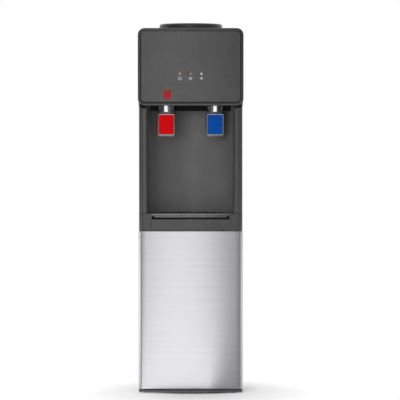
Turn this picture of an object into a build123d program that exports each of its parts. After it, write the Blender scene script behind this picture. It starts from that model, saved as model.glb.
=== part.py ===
"""Free-standing hot and cold water dispenser, in millimetres.

The front faces -Y, +Z is up, and the origin is on the floor under the middle of the part.
"""
import os

from build123d import *

os.makedirs("parts", exist_ok=True)

# Overall stack, from the floor up
foot_height = 3.0
base_thickness = 6.0
door_gap = 1.5
door_height = 420.0
fascia_height = 46.5
alcove_height = 287.5
head_height = 203.0
collar_rise = 15.0

# Overall widths and depth
head_width = 280.0
cover_step = 1.5
body_step = 2.5
door_step = 1.5
overall_depth = 310.0
base_bow = 20.0
head_lead = 4.0
cabinet_setback = 19.0
rear_standoff = 25.0

# Walls and fits
sheet = 1.0
plastic_wall = 3.0
return_width = 10.0
seam = 0.5
slip = 0.3
pin_fit = 0.05
hole_room = 1.0

# Derived heights
base_top = foot_height + base_thickness
door_bottom = base_top + door_gap
door_top = door_bottom + door_height
fascia_bottom = door_top + door_gap
fascia_top = fascia_bottom + fascia_height
head_bottom = fascia_top + alcove_height
head_top = head_bottom + head_height
collar_top = head_top + collar_rise

# Derived widths
cover_width = head_width - 2 * cover_step
body_width = head_width - 2 * body_step
door_width = head_width - 2 * door_step
base_half = body_width / 2

# Derived depths
base_front = -overall_depth / 2 + base_bow
door_front = base_front
cabinet_front = door_front + cabinet_setback
head_front = door_front - head_lead
rear_outer = overall_depth / 2 - rear_standoff
rear_inner = rear_outer - sheet


def save(piece, label):
    """Label a finished piece and write its file."""
    piece.label = label
    export_step(piece, f"parts/{label}.step")


def facing(back):
    """Upright plane at depth `back`; a positive extrusion from it comes towards the front."""
    return Plane.XZ.offset(-back)


def bow_face(half_width, straight, back, front):
    """Plan outline with a straight front edge, short straight sides and an arched back."""
    with BuildSketch() as outline:
        with BuildLine():
            Polyline(
                (-half_width, straight),
                (-half_width, front),
                (half_width, front),
                (half_width, straight),
            )
            ThreePointArc((half_width, straight), (0, back), (-half_width, straight))
        make_face()
    return outline.sketch


def hose(points, radius, outer, label):
    """Solid hose along straight runs joined by tangent arcs."""
    with BuildPart() as tube:
        with BuildLine() as route:
            FilletPolyline(*points, radius=radius)
        with BuildSketch(Plane(route.line @ 0, z_dir=route.line % 0)):
            Circle(outer / 2)
        sweep(path=route.line)
    save(tube.part, label)


# Base tray and feet
base_rail = 8.0
base_rail_height = 10.0
foot_diameter = 28.0
foot_inset = 24.0
hinge_inset = 6.0
hinge_pin_diameter = 5.0
pivot_x = door_width / 2 - hinge_inset
door_thickness = 18.0
pivot_y = door_front + door_thickness - hinge_inset
foot_x = base_half - foot_inset
foot_front = base_front + foot_inset
foot_rear = rear_inner - foot_inset

with BuildPart() as base_tray:
    with BuildSketch(Plane.XY.offset(foot_height)):
        with BuildLine():
            Polyline(
                (-base_half, base_front),
                (-base_half, rear_inner),
                (base_half, rear_inner),
                (base_half, base_front),
            )
            ThreePointArc((base_half, base_front), (0, base_front - base_bow), (-base_half, base_front))
        make_face()
    extrude(amount=base_thickness)
    fillet(base_tray.faces().sort_by(Axis.Z)[-1].edges().sort_by(Axis.Y)[0], base_thickness / 2)
    with BuildSketch(Plane.XY.offset(base_top)):
        with Locations(*[(side * (base_half - sheet - slip - base_rail / 2), 0) for side in (-1, 1)]):
            Rectangle(base_rail, 2 * (rear_inner - return_width - foot_inset))
    extrude(amount=base_rail_height)
    with Locations((pivot_x, pivot_y, base_top)):
        Hole(hinge_pin_diameter / 2)
save(base_tray.part, "base_tray")

with BuildPart() as feet:
    with Locations(*[(side * foot_x, depth, 0) for side in (-1, 1) for depth in (foot_front, foot_rear)]):
        Cylinder(foot_diameter / 2, foot_height, align=(Align.CENTER, Align.CENTER, Align.MIN))
    chamfer(feet.edges().group_by(Axis.Z)[0], foot_height / 4)
save(feet.part, "feet")

# Side panels: folded sheet with returns at the front, back and top
panel_height = head_bottom - base_top
for side, label in ((-1, "left_side_panel"), (1, "right_side_panel")):
    with BuildPart() as side_panel:
        with BuildSketch(Plane.XY.offset(base_top)):
            with Locations((side * (base_half - sheet / 2), (cabinet_front + rear_inner) / 2)):
                Rectangle(sheet, rear_inner - cabinet_front)
            with Locations(
                (side * (base_half - return_width / 2), cabinet_front + sheet / 2),
                (side * (base_half - return_width / 2), rear_inner - sheet / 2),
            ):
                Rectangle(return_width, sheet)
        extrude(amount=panel_height)
        with BuildSketch(Plane.XY.offset(head_bottom - sheet)):
            with Locations((side * (base_half - return_width / 2), (cabinet_front + rear_inner) / 2)):
                Rectangle(return_width, rear_inner - cabinet_front)
        extrude(amount=sheet)
    save(side_panel.part, label)

# Rear panel with its holes; the compressor bay below it is open
bay_height = 165.0
tap_inset = 72.5
tap_x = base_half - tap_inset
hot_height = 160.0
hot_drop = 55.0
hot_top = head_bottom - hot_drop
hot_bottom = hot_top - hot_height
drain_x = -tap_x
drain_rise = 15.0
drain_z = hot_bottom + drain_rise
drain_diameter = 14.0
switch_inset = 67.5
switch_x = base_half - switch_inset
switch_drop = 120.0
switch_z = head_bottom - switch_drop
switch_width = 64.0
switch_height = 44.0
gland_inset = 32.5
gland_x = -(base_half - gland_inset)
gland_rise = 16.0
gland_bore = 7.0
gland_diameter = 15.0
tube_diameter = 5.0
coil_inset = 25.5
coil_half = base_half - coil_inset
coil_rows = 8
coil_pitch = 36.0
coil_rise = 46.0
coil_standoff = 16.0
coil_depth = rear_outer + coil_standoff
rear_bottom = base_top + bay_height
gland_z = rear_bottom + gland_rise
coil_bottom = rear_bottom + coil_rise
coil_top = coil_bottom + (coil_rows - 1) * coil_pitch
coil_end_x = coil_half if coil_rows % 2 == 0 else -coil_half
vent_slot = 5.0
vent_room = 3.0
vent_length = 2 * (switch_x - switch_width / 2 - vent_room)
vent_pitch = 12.0
vent_count = 6
vent_drop = 76.0
vent_z = head_bottom - vent_drop
rear_half = base_half - sheet
screw_diameter = 4.0
screw_head = 8.0
screw_head_height = 2.2
screw_inset = 7.0
screw_rows = 4
screw_span = head_bottom - rear_bottom - 2 * screw_inset
screw_mid = (head_bottom + rear_bottom) / 2
screw_places = [
    (side * (base_half - screw_inset), screw_mid + (row / (screw_rows - 1) - 0.5) * screw_span)
    for side in (-1, 1)
    for row in range(screw_rows)
]

with BuildPart() as rear_panel:
    with BuildSketch(facing(rear_outer)):
        with Locations((0, (rear_bottom + head_bottom) / 2)):
            Rectangle(2 * rear_half, head_bottom - rear_bottom)
        with Locations((drain_x, drain_z)):
            Circle(drain_diameter / 2 + slip, mode=Mode.SUBTRACT)
        with Locations((gland_x, gland_z)):
            Circle(gland_diameter / 2, mode=Mode.SUBTRACT)
        with Locations((coil_end_x, coil_top)):
            Circle(tube_diameter / 2 + hole_room, mode=Mode.SUBTRACT)
        with Locations((switch_x, switch_z)):
            Rectangle(switch_width, switch_height, mode=Mode.SUBTRACT)
        with Locations((0, vent_z)):
            with GridLocations(0, vent_pitch, 1, vent_count):
                SlotOverall(vent_length, vent_slot, mode=Mode.SUBTRACT)
        with Locations(*screw_places):
            Circle(screw_diameter / 2, mode=Mode.SUBTRACT)
    extrude(amount=sheet)
save(rear_panel.part, "rear_panel")

with BuildPart() as panel_screws:
    with BuildSketch(facing(rear_outer)):
        with Locations(*screw_places):
            Circle(screw_diameter / 2)
    extrude(amount=sheet)
    with BuildSketch(facing(rear_outer)):
        with Locations(*screw_places):
            Circle(screw_head / 2)
    extrude(amount=-screw_head_height)
    fillet(panel_screws.edges().group_by(Axis.Y)[-1], screw_head_height / 2)
save(panel_screws.part, "panel_screws")

# Head: front bezel, front panel and top cover
head_corner = 18.0
bezel_depth = 24.0
bezel_edge = 5.0
rim = 8.4
panel_gap = 2.4
panel_thickness = 4.0
panel_setback = 1.0
panel_corner = head_corner - rim
ledge = 8.0
head_mid = head_bottom + head_height / 2
bezel_back = head_front + bezel_depth
panel_front = head_front + panel_setback
panel_back = panel_front + panel_thickness
panel_width = head_width - 2 * rim
panel_tall = head_height - 2 * rim

with BuildPart() as head_bezel:
    with BuildSketch(facing(bezel_back)):
        with Locations((0, head_mid)):
            RectangleRounded(head_width, head_height, head_corner)
    extrude(amount=bezel_depth)
    fillet(head_bezel.faces().sort_by(Axis.Y)[0].edges(), bezel_edge)
    with BuildSketch(facing(panel_back)):
        with Locations((0, head_mid)):
            RectangleRounded(
                panel_width + 2 * panel_gap,
                panel_tall + 2 * panel_gap,
                panel_corner + panel_gap,
            )
    extrude(amount=panel_thickness + panel_setback, mode=Mode.SUBTRACT)
    with BuildSketch(facing(bezel_back)):
        with Locations((0, head_mid)):
            RectangleRounded(panel_width - 2 * ledge, panel_tall - 2 * ledge, panel_corner)
    extrude(amount=bezel_depth, mode=Mode.SUBTRACT)
    with BuildSketch(facing(bezel_back)):
        with Locations((0, head_mid)):
            RectangleRounded(
                head_width - 2 * plastic_wall,
                head_height - 2 * plastic_wall,
                head_corner - plastic_wall,
            )
    extrude(amount=bezel_back - panel_back - plastic_wall, mode=Mode.SUBTRACT)
save(head_bezel.part, "head_bezel")

lens_diameter = 5.0
lens_spacing = 28.5
lens_drop = 121.0
lens_z = head_top - lens_drop
marker_x = -62.0
marker_rise = 27.0
marker_z = head_bottom + marker_rise
marker_width = 19.3
marker_height = 23.6
marker_depth = 1.0
marker_corner = 4.0
board_width = 110.0
board_height = 40.0
board_thickness = 1.6
boss_diameter = 7.0
boss_length = 5.0
lens_places = [(step * lens_spacing, lens_z) for step in (-1, 0, 1)]
board_front = panel_back + boss_length

with BuildPart() as head_front_panel:
    with BuildSketch(facing(panel_back)):
        with Locations((0, head_mid)):
            RectangleRounded(panel_width, panel_tall, panel_corner)
    extrude(amount=panel_thickness)
    fillet(head_front_panel.faces().sort_by(Axis.Y)[0].edges(), panel_setback)
    with BuildSketch(facing(panel_back)):
        with Locations(*lens_places):
            Circle(lens_diameter / 2 + pin_fit)
    extrude(amount=panel_thickness, mode=Mode.SUBTRACT)
    with BuildSketch(facing(panel_front + marker_depth)):
        with Locations((marker_x, marker_z)):
            RectangleRounded(marker_width + 2 * slip, marker_height + 2 * slip, marker_corner + slip)
    extrude(amount=marker_depth, mode=Mode.SUBTRACT)
    with BuildSketch(facing(board_front)):
        with Locations((0, lens_z)):
            with GridLocations(board_width - 2 * boss_diameter, board_height - boss_diameter, 2, 2):
                Circle(boss_diameter / 2)
    extrude(amount=boss_length)
save(head_front_panel.part, "head_front_panel")

for place, label in zip(lens_places, ("power_lens", "heat_lens", "cool_lens")):
    with BuildPart() as lens:
        with BuildSketch(facing(board_front)):
            with Locations(place):
                Circle(lens_diameter / 2)
        extrude(amount=board_front - panel_front + panel_setback / 2)
        fillet(lens.faces().sort_by(Axis.Y)[0].edges(), panel_setback / 2)
    save(lens.part, label)

with BuildPart() as hot_marker:
    with BuildSketch(facing(panel_front + marker_depth)):
        with Locations((marker_x, marker_z)):
            RectangleRounded(marker_width, marker_height, marker_corner)
    extrude(amount=marker_depth + panel_setback / 2)
save(hot_marker.part, "hot_marker")

with BuildPart() as control_board:
    with BuildSketch(facing(board_front + board_thickness)):
        with Locations((0, lens_z)):
            Rectangle(board_width, board_height)
    extrude(amount=board_thickness)
save(control_board.part, "control_board")

collar_hole = 150.0
cover_corner = 16.0
collar_y = 0.0
cover_back = rear_outer
cover_depth = cover_back - bezel_back


def cover_outline(inset):
    """Front-view outline of the cover, inset from the sides and top, with rounded upper corners."""
    with BuildSketch() as outline:
        with Locations((0, head_mid - inset)):
            Rectangle(cover_width - 2 * inset, head_height)
        fillet(outline.vertices().group_by(Axis.Y)[-1], cover_corner - inset)
    return outline.sketch


with BuildPart() as top_cover:
    with BuildSketch(facing(cover_back)):
        add(cover_outline(0))
    extrude(amount=cover_depth)
    fillet(top_cover.faces().sort_by(Axis.Y)[-1].edges(), plastic_wall)
    with BuildSketch(facing(cover_back - plastic_wall)):
        add(cover_outline(plastic_wall))
    extrude(amount=cover_depth, mode=Mode.SUBTRACT)
    with Locations((0, collar_y, head_top)):
        Hole(collar_hole / 2, plastic_wall)
save(top_cover.part, "top_cover")

# Alcove panel with its arched recess, tap carrier above it and tray fascia below
alcove_setback = 1.0
edge_round = 12.0
pocket_round = 7.0
brow_round = 8.0
head_gap = 5.0
jamb_round = 6.0
pillar_width = 22.5
recess_half = base_half - pillar_width
recess_depth = 104.0
alcove_front = door_front + alcove_setback
recess_back = alcove_front + recess_depth
carrier_setback = 32.0
carrier_front = alcove_front + carrier_setback
carrier_tall = 16.0
carrier_floor = 2.5
carrier_wall = 4.0
carrier_bottom = head_bottom - seam - carrier_tall
shank_diameter = 10.0
shank_room = 1.8
shank_z = carrier_bottom + carrier_floor + shank_diameter / 2 + shank_room
hose_diameter = 10.0
tap_places = [(side * tap_x, shank_z) for side in (-1, 1)]
block_depth = cabinet_front - alcove_front


def front_block():
    """Plan outline of a front casing piece, with its two front corners rounded."""
    with BuildSketch() as outline:
        with Locations((0, (alcove_front + cabinet_front) / 2)):
            Rectangle(body_width, block_depth)
        fillet(outline.vertices().group_by(Axis.Y)[0], edge_round)
    return outline.sketch


def recess_face(inset):
    """Plan outline of the recess, inset from its arched wall and reaching out past the front."""
    return bow_face(recess_half - inset, alcove_front, recess_back - inset, alcove_front - plastic_wall)


def recess_shell():
    """Plan outline of the recess with its wall."""
    return bow_face(
        recess_half + plastic_wall, alcove_front + plastic_wall, recess_back + plastic_wall, alcove_front
    )


def pillar_pockets(inner):
    """Plan outlines of the two hollows behind the front pillars, from half width `inner` outwards."""
    outer = base_half - plastic_wall
    with BuildSketch() as outline:
        with Locations(*[(side * (inner + outer) / 2, alcove_front + plastic_wall) for side in (-1, 1)]):
            Rectangle(outer - inner, 2 * block_depth, align=(Align.CENTER, Align.MIN))
        fillet(outline.vertices().group_by(Axis.Y)[0], pocket_round)
    return outline.sketch


with BuildPart() as alcove_panel:
    with BuildSketch(Plane.XY.offset(fascia_top)) as alcove_plan:
        add(front_block())
        add(recess_shell())
        add(recess_face(0), mode=Mode.SUBTRACT)
        jambs = alcove_plan.vertices().group_by(Axis.Y)[0].sort_by(Axis.X)[1:-1]
        fillet(jambs, jamb_round)
    extrude(amount=alcove_height - seam)
    with BuildSketch(Plane.XY.offset(fascia_top)):
        add(pillar_pockets(recess_half + plastic_wall))
    extrude(amount=alcove_height - head_gap - brow_round - plastic_wall, mode=Mode.SUBTRACT)
    with BuildSketch(Plane.YZ):
        with Locations((alcove_front, head_bottom)):
            Rectangle(brow_round, head_gap + brow_round, align=(Align.MIN, Align.MAX))
        with Locations((alcove_front + brow_round, head_bottom - head_gap - brow_round)):
            Circle(brow_round, mode=Mode.SUBTRACT)
    extrude(amount=base_half, both=True, mode=Mode.SUBTRACT)
    with BuildSketch(facing(recess_back)):
        with Locations(*tap_places):
            Circle(hose_diameter / 2 + hole_room)
    extrude(amount=recess_back - carrier_front, mode=Mode.SUBTRACT)
save(alcove_panel.part, "alcove_panel")

with BuildPart() as tap_carrier:
    with BuildSketch(Plane.XY.offset(carrier_bottom)):
        add(recess_face(slip))
        with Locations((0, carrier_front)):
            Rectangle(head_width, overall_depth, align=(Align.CENTER, Align.MAX), mode=Mode.SUBTRACT)
    extrude(amount=carrier_tall)
    with BuildSketch(Plane.XY.offset(carrier_bottom + carrier_floor)):
        add(recess_face(slip + carrier_wall))
        with Locations((0, carrier_front + carrier_wall)):
            Rectangle(head_width, overall_depth, align=(Align.CENTER, Align.MAX), mode=Mode.SUBTRACT)
    extrude(amount=carrier_tall, mode=Mode.SUBTRACT)
    with BuildSketch(facing(carrier_front + carrier_wall)):
        with Locations(*tap_places):
            Circle(shank_diameter / 2 + pin_fit)
    extrude(amount=carrier_wall, mode=Mode.SUBTRACT)
    with BuildSketch(facing(recess_back)):
        with Locations(*tap_places):
            Circle(hose_diameter / 2 + hole_room)
    extrude(amount=recess_back - carrier_front - carrier_wall, mode=Mode.SUBTRACT)
save(tap_carrier.part, "tap_carrier")

well_margin = 9.8
well_half = recess_half - well_margin
well_side = 14.0
well_ledge = 5.0
well_straight = alcove_front + well_side
well_back = recess_back - well_ledge
fascia_floor = 4.0
deck = 3.0
shadow_gap = 2.0
pin_reach = 11.0

with BuildPart() as tray_fascia:
    with BuildSketch(Plane.XY.offset(fascia_bottom)):
        add(front_block())
        add(
            bow_face(
                well_half + plastic_wall,
                well_straight,
                well_back + plastic_wall,
                alcove_front + edge_round,
            )
        )
    extrude(amount=fascia_height - seam)
    with BuildSketch(Plane.XY.offset(fascia_top - seam - deck)):
        add(recess_shell())
    extrude(amount=deck)
    with BuildSketch(Plane.XY.offset(fascia_bottom + fascia_floor)):
        add(bow_face(well_half, well_straight, well_back, alcove_front - plastic_wall))
    extrude(amount=fascia_height, mode=Mode.SUBTRACT)
    with BuildSketch(Plane.XY.offset(fascia_bottom + fascia_floor)):
        add(pillar_pockets(well_half + plastic_wall))
    extrude(amount=fascia_height - seam - deck - fascia_floor, mode=Mode.SUBTRACT)
    with Locations((pivot_x, pivot_y, fascia_bottom + fascia_floor)):
        Hole(hinge_pin_diameter / 2, fascia_floor)
    with BuildSketch(Plane.XY.offset(fascia_top - seam)):
        add(front_block())
        with Locations((0, shadow_gap)):
            add(front_block(), mode=Mode.SUBTRACT)
    extrude(amount=-shadow_gap, mode=Mode.SUBTRACT)
save(tray_fascia.part, "tray_fascia")

# Drip tray and grille
tray_slip = 0.5
tray_wall = 2.0
tray_front_height = 26.0
tray_side_height = 35.5
grille_thickness = 4.6
finger_slot = 4.8
skirt_inset = 7.7
skirt_thickness = 2.5
grille_slot = 6.0
grille_pitch = 13.0
grille_border = 9.0
tray_bottom = fascia_bottom + fascia_floor + slip
tray_half = well_half - tray_slip
skirt_half = tray_half - skirt_inset
slot_count = int((tray_half - grille_border) // grille_pitch)
tray_back = well_back - tray_slip
tray_top = tray_bottom + tray_side_height
tray_front_top = tray_bottom + tray_front_height
arch_rise = tray_back - well_straight
arch_radius = (tray_half**2 + arch_rise**2) / (2 * arch_rise)


def tray_face(inset):
    """Plan outline of the tray, inset all round."""
    return bow_face(tray_half - inset, well_straight, tray_back - inset, alcove_front + inset)


def slot_back(x):
    """Depth at which a grille slot at `x` stops short of the arched back."""
    return tray_back - arch_radius + (arch_radius**2 - x**2) ** 0.5 - grille_border


with BuildPart() as drip_tray:
    with BuildSketch(Plane.XY.offset(tray_bottom)):
        add(tray_face(0))
    extrude(amount=tray_side_height)
    with BuildSketch(Plane.XY.offset(tray_bottom + tray_wall)):
        add(tray_face(tray_wall))
    extrude(amount=tray_side_height, mode=Mode.SUBTRACT)
    with BuildSketch(Plane.XY.offset(tray_front_top)):
        with Locations((0, alcove_front)):
            Rectangle(2 * (tray_half - tray_wall), 2 * tray_wall)
    extrude(amount=tray_side_height, mode=Mode.SUBTRACT)
save(drip_tray.part, "drip_tray")

with BuildPart() as drip_grille:
    with BuildSketch(Plane.XY.offset(tray_top)):
        add(tray_face(0))
        for step in range(-slot_count, slot_count + 1):
            slot_x = step * grille_pitch
            slot_front = alcove_front + grille_border
            slot_length = slot_back(slot_x) - slot_front
            with Locations((slot_x, slot_front + slot_length / 2)):
                SlotOverall(slot_length, grille_slot, rotation=90, mode=Mode.SUBTRACT)
    extrude(amount=grille_thickness)
    with BuildSketch(Plane.XY.offset(tray_front_top + finger_slot)):
        with Locations((0, alcove_front)):
            Rectangle(2 * skirt_half, skirt_thickness, align=(Align.CENTER, Align.MIN))
    extrude(amount=tray_top - tray_front_top - finger_slot)
save(drip_grille.part, "drip_grille")

# Storage cabinet: liner, door, hinge pins and magnetic catch
compressor_radius = 58.0
compressor_room = 11.0
compressor_y = rear_inner - compressor_room - compressor_radius
liner_wall = 2.0
liner_half = base_half - return_width - seam
liner_headroom = 6.0
liner_top = fascia_bottom - liner_headroom
liner_front = cabinet_front + seam
step_room = 16.0
bay_room = 10.0
rear_room = 29.0
liner_step = rear_bottom + step_room
liner_low_back = compressor_y - compressor_radius - bay_room
liner_back = rear_inner - rear_room


def liner_profile(inset, front):
    """Side-view outline of the liner, stepped over the compressor."""
    with BuildSketch() as outline:
        with BuildLine():
            Polyline(
                (front, base_top + inset),
                (liner_low_back - inset, base_top + inset),
                (liner_low_back - inset, liner_step + inset),
                (liner_back - inset, liner_step + inset),
                (liner_back - inset, liner_top - inset),
                (front, liner_top - inset),
                close=True,
            )
        make_face()
    return outline.sketch


with BuildPart() as cabinet_liner:
    with BuildSketch(Plane.YZ):
        add(liner_profile(0, liner_front))
    extrude(amount=liner_half, both=True)
    with BuildSketch(Plane.YZ):
        add(liner_profile(liner_wall, liner_front - liner_wall))
    extrude(amount=liner_half - liner_wall, both=True, mode=Mode.SUBTRACT)
save(cabinet_liner.part, "cabinet_liner")

skin = 0.8
skin_round = 9.0
skin_fit = 0.1
door_border = 27.0
door_face = 3.0
scoop_length = 100.0
scoop_depth = 9.0
catch_drop = 60.0
catch_width = 12.0
catch_height = 40.0
strike_thickness = 0.8
magnet_depth = 10.0
door_half = door_width / 2
door_back = door_front + door_thickness
frame_inset = skin + skin_fit
catch_x = -(liner_half - liner_wall - catch_width / 2)
catch_z = door_top - catch_drop


def door_outline(inset, back):
    """Plan outline of the door with rounded front corners, inset from the sides and front."""
    with BuildSketch() as outline:
        with Locations((0, door_front + inset)):
            Rectangle(2 * (door_half - inset), back - door_front - inset, align=(Align.CENTER, Align.MIN))
        fillet(outline.vertices().group_by(Axis.Y)[0], skin_round - inset)
    return outline.sketch


with BuildPart() as door_skin:
    with BuildSketch(Plane.XY.offset(door_bottom)):
        add(door_outline(0, pivot_y))
        add(door_outline(skin, door_back), mode=Mode.SUBTRACT)
    extrude(amount=door_height)
save(door_skin.part, "door_skin")

with BuildPart() as door_frame:
    with BuildSketch(Plane.XY.offset(door_bottom)) as frame_plan:
        add(door_outline(frame_inset, door_back))
        fillet(frame_plan.vertices().group_by(Axis.Y)[-1], hinge_inset - frame_inset)
    extrude(amount=door_height)
    with BuildSketch(facing(door_back)):
        with Locations((0, door_bottom + door_height / 2)):
            Rectangle(2 * (door_half - door_border), door_height - 2 * door_border)
    extrude(amount=door_thickness - door_face - frame_inset, mode=Mode.SUBTRACT)
    with BuildSketch(Plane.XY.offset(door_bottom + (door_height - scoop_length) / 2)):
        with Locations((-door_half, door_back)):
            Rectangle(2 * scoop_depth, 2 * (hinge_inset - seam))
    extrude(amount=scoop_length, mode=Mode.SUBTRACT)
    with Locations((pivot_x, pivot_y, door_top)):
        Hole(hinge_pin_diameter / 2 + pin_fit, pin_reach)
    with BuildSketch(Plane.XY.offset(door_bottom)):
        with Locations((pivot_x, pivot_y)):
            Circle(hinge_pin_diameter / 2 + pin_fit)
    extrude(amount=pin_reach, mode=Mode.SUBTRACT)
save(door_frame.part, "door_frame")

with BuildPart() as hinge_pins:
    with BuildSketch(Plane.XY.offset(foot_height)):
        with Locations((pivot_x, pivot_y)):
            Circle(hinge_pin_diameter / 2)
    extrude(amount=door_bottom + pin_reach - seam - foot_height)
    with BuildSketch(Plane.XY.offset(door_top - pin_reach + seam)):
        with Locations((pivot_x, pivot_y)):
            Circle(hinge_pin_diameter / 2)
    extrude(amount=fascia_bottom + fascia_floor - door_top + pin_reach - seam)
save(hinge_pins.part, "hinge_pins")

with BuildPart() as strike_plate:
    with BuildSketch(facing(door_back + strike_thickness)):
        with Locations((catch_x, catch_z)):
            RectangleRounded(catch_width, catch_height, catch_width / 6)
    extrude(amount=strike_thickness)
save(strike_plate.part, "strike_plate")

with BuildPart() as catch_magnet:
    with BuildSketch(facing(liner_front + magnet_depth)):
        with Locations((catch_x, catch_z)):
            Rectangle(catch_width, catch_height)
    extrude(amount=magnet_depth)
save(catch_magnet.part, "catch_magnet")

# Taps: body, nozzle, nut, hinge pin, paddle with trim and insert, valve stem and return spring
tap_width = 45.0
tap_lead = 26.0
tap_tall = 19.0
tap_drop = 1.5
tap_round = 9.0
shank_length = 22.0
shank_bore = 5.0
nozzle_diameter = 10.6
nozzle_bore = 6.0
nozzle_lift = 2.0
tap_pin_diameter = 4.0
tap_pin_length = 40.0
tap_pin_rise = 5.5
hub_radius = 4.0
hub_half = 12.7
pin_to_carrier = 15.0
cavity_room = 0.6
cavity_rear = 12.0
cavity_tall = 12.5
stem_offset = 7.5
stem_diameter = 4.0
stem_collar = 7.2
stem_collar_height = 1.0
stem_length = 9.3
stem_gap = 0.2
arm_length = 9.4
arm_half = 2.5
arm_above = 1.0
arm_below = 2.0
plate_width = 54.0
plate_height = 62.0
plate_thickness = 5.0
plate_lead = 3.5
neck_thickness = 4.0
plate_gap = 2.0
plate_corner = 6.0
trim_width = 46.0
trim_height = 58.0
trim_border = 2.8
trim_thickness = 1.5
trim_corner = 4.5
insert_fit = 0.1
insert_thickness = 1.2
spring_wire = 0.6
spring_radius = 2.9
turn_count = 3
nut_flats = 13.0
nut_thickness = 5.0
tap_top = head_bottom - tap_drop
tap_bottom = tap_top - tap_tall
tap_front = carrier_front - tap_lead
tap_pin_y = carrier_front - pin_to_carrier
tap_pin_z = tap_bottom + tap_pin_rise
stem_y = tap_pin_y + stem_offset
stem_bottom = tap_pin_z + arm_above + stem_gap
cavity_front = tap_pin_y - hub_radius - cavity_room
cavity_back = tap_pin_y + cavity_rear
cavity_top = tap_bottom + cavity_tall
plate_front = tap_pin_y - plate_lead
plate_top = tap_bottom - plate_gap
plate_mid = plate_top - plate_height / 2
trim_mid = plate_top - seam - trim_height / 2
spring_bottom = stem_bottom + stem_collar_height + spring_wire
spring_height = cavity_top - spring_wire - spring_bottom
shank_end = carrier_front + shank_length

for side, name in ((-1, "hot"), (1, "cold")):
    middle = side * tap_x
    with BuildPart() as tap_body:
        with BuildSketch(Plane.XY.offset(tap_bottom)) as tap_plan:
            with Locations((middle, carrier_front)):
                Rectangle(tap_width, tap_lead, align=(Align.CENTER, Align.MAX))
            fillet(tap_plan.vertices().group_by(Axis.Y)[0], tap_round)
        extrude(amount=tap_tall)
        fillet(tap_body.faces().sort_by(Axis.Z)[-1].edges().group_by(Axis.Y)[0], tap_drop)
        with BuildSketch(facing(shank_end)):
            with Locations((middle, shank_z)):
                Circle(shank_diameter / 2)
        extrude(amount=shank_length)
        with BuildSketch(Plane.XY.offset(tap_bottom)):
            with Locations((middle, cavity_front)):
                Rectangle(2 * (hub_half + slip), cavity_back - cavity_front, align=(Align.CENTER, Align.MIN))
        extrude(amount=cavity_tall, mode=Mode.SUBTRACT)
        with BuildSketch(Plane.XY.offset(tap_bottom)):
            with Locations((middle, tap_front)):
                Circle(nozzle_diameter / 2 + insert_fit)
        extrude(amount=tap_tall, mode=Mode.SUBTRACT)
        with BuildSketch(Plane.XY.offset(cavity_top)):
            with Locations((middle, stem_y)):
                Circle(stem_diameter / 2 + pin_fit)
        extrude(amount=tap_tall, mode=Mode.SUBTRACT)
        with BuildSketch(facing(shank_end)):
            with Locations((middle, shank_z)):
                Circle(shank_bore / 2)
        extrude(amount=shank_end - stem_y, mode=Mode.SUBTRACT)
        with BuildSketch(Plane.YZ.offset(middle)):
            with Locations((tap_pin_y, tap_pin_z)):
                Circle(tap_pin_diameter / 2)
        extrude(amount=tap_pin_length / 2, both=True, mode=Mode.SUBTRACT)
    save(tap_body.part, f"{name}_tap_body")

    with BuildPart() as paddle:
        with BuildSketch(facing(plate_front + plate_thickness)):
            with Locations((middle, plate_mid)):
                RectangleRounded(plate_width, plate_height, plate_corner)
        extrude(amount=plate_thickness)
        with BuildSketch(facing(plate_front + plate_thickness)):
            with Locations((middle, plate_top)):
                Rectangle(2 * hub_half, 2 * (tap_pin_z - plate_top))
        extrude(amount=neck_thickness)
        with BuildSketch(Plane.YZ.offset(middle)):
            with Locations((tap_pin_y, tap_pin_z)):
                Circle(hub_radius)
        extrude(amount=hub_half, both=True)
        with BuildSketch(Plane.YZ.offset(middle)):
            with Locations((tap_pin_y, tap_pin_z - arm_below)):
                Rectangle(arm_length, arm_above + arm_below, align=(Align.MIN, Align.MIN))
        extrude(amount=arm_half, both=True)
        with BuildSketch(Plane.YZ.offset(middle)):
            with Locations((tap_pin_y, tap_pin_z)):
                Circle(tap_pin_diameter / 2 + pin_fit)
        extrude(amount=plate_width, both=True, mode=Mode.SUBTRACT)
    save(paddle.part, f"{name}_paddle")

    with BuildPart() as trim:
        with BuildSketch(facing(plate_front)):
            with Locations((middle, trim_mid)):
                RectangleRounded(trim_width, trim_height, trim_corner)
                Rectangle(trim_width - 2 * trim_border, trim_height - 2 * trim_border, mode=Mode.SUBTRACT)
        extrude(amount=trim_thickness)
        chamfer(trim.faces().sort_by(Axis.Y)[0].outer_wire().edges(), trim_thickness / 2)
    save(trim.part, f"{name}_trim")

    with BuildPart() as insert:
        with BuildSketch(facing(plate_front)):
            with Locations((middle, trim_mid)):
                Rectangle(
                    trim_width - 2 * trim_border - 2 * insert_fit,
                    trim_height - 2 * trim_border - 2 * insert_fit,
                )
        extrude(amount=insert_thickness)
    save(insert.part, f"{name}_insert")

    with BuildPart() as valve_stem:
        with BuildSketch(Plane.XY.offset(stem_bottom)):
            with Locations((middle, stem_y)):
                Circle(stem_diameter / 2)
        extrude(amount=stem_length)
        with BuildSketch(Plane.XY.offset(stem_bottom)):
            with Locations((middle, stem_y)):
                Circle(stem_collar / 2)
        extrude(amount=stem_collar_height)
    save(valve_stem.part, f"{name}_valve_stem")

    with BuildPart() as spring:
        with BuildLine() as spring_line:
            Helix(
                spring_height / turn_count,
                spring_height,
                spring_radius,
                center=(middle, stem_y, spring_bottom),
            )
        with BuildSketch(Plane(spring_line.line @ 0, z_dir=spring_line.line % 0)):
            Circle(spring_wire / 2)
        sweep(path=spring_line.line, is_frenet=True)
    save(spring.part, f"{name}_spring")

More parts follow.
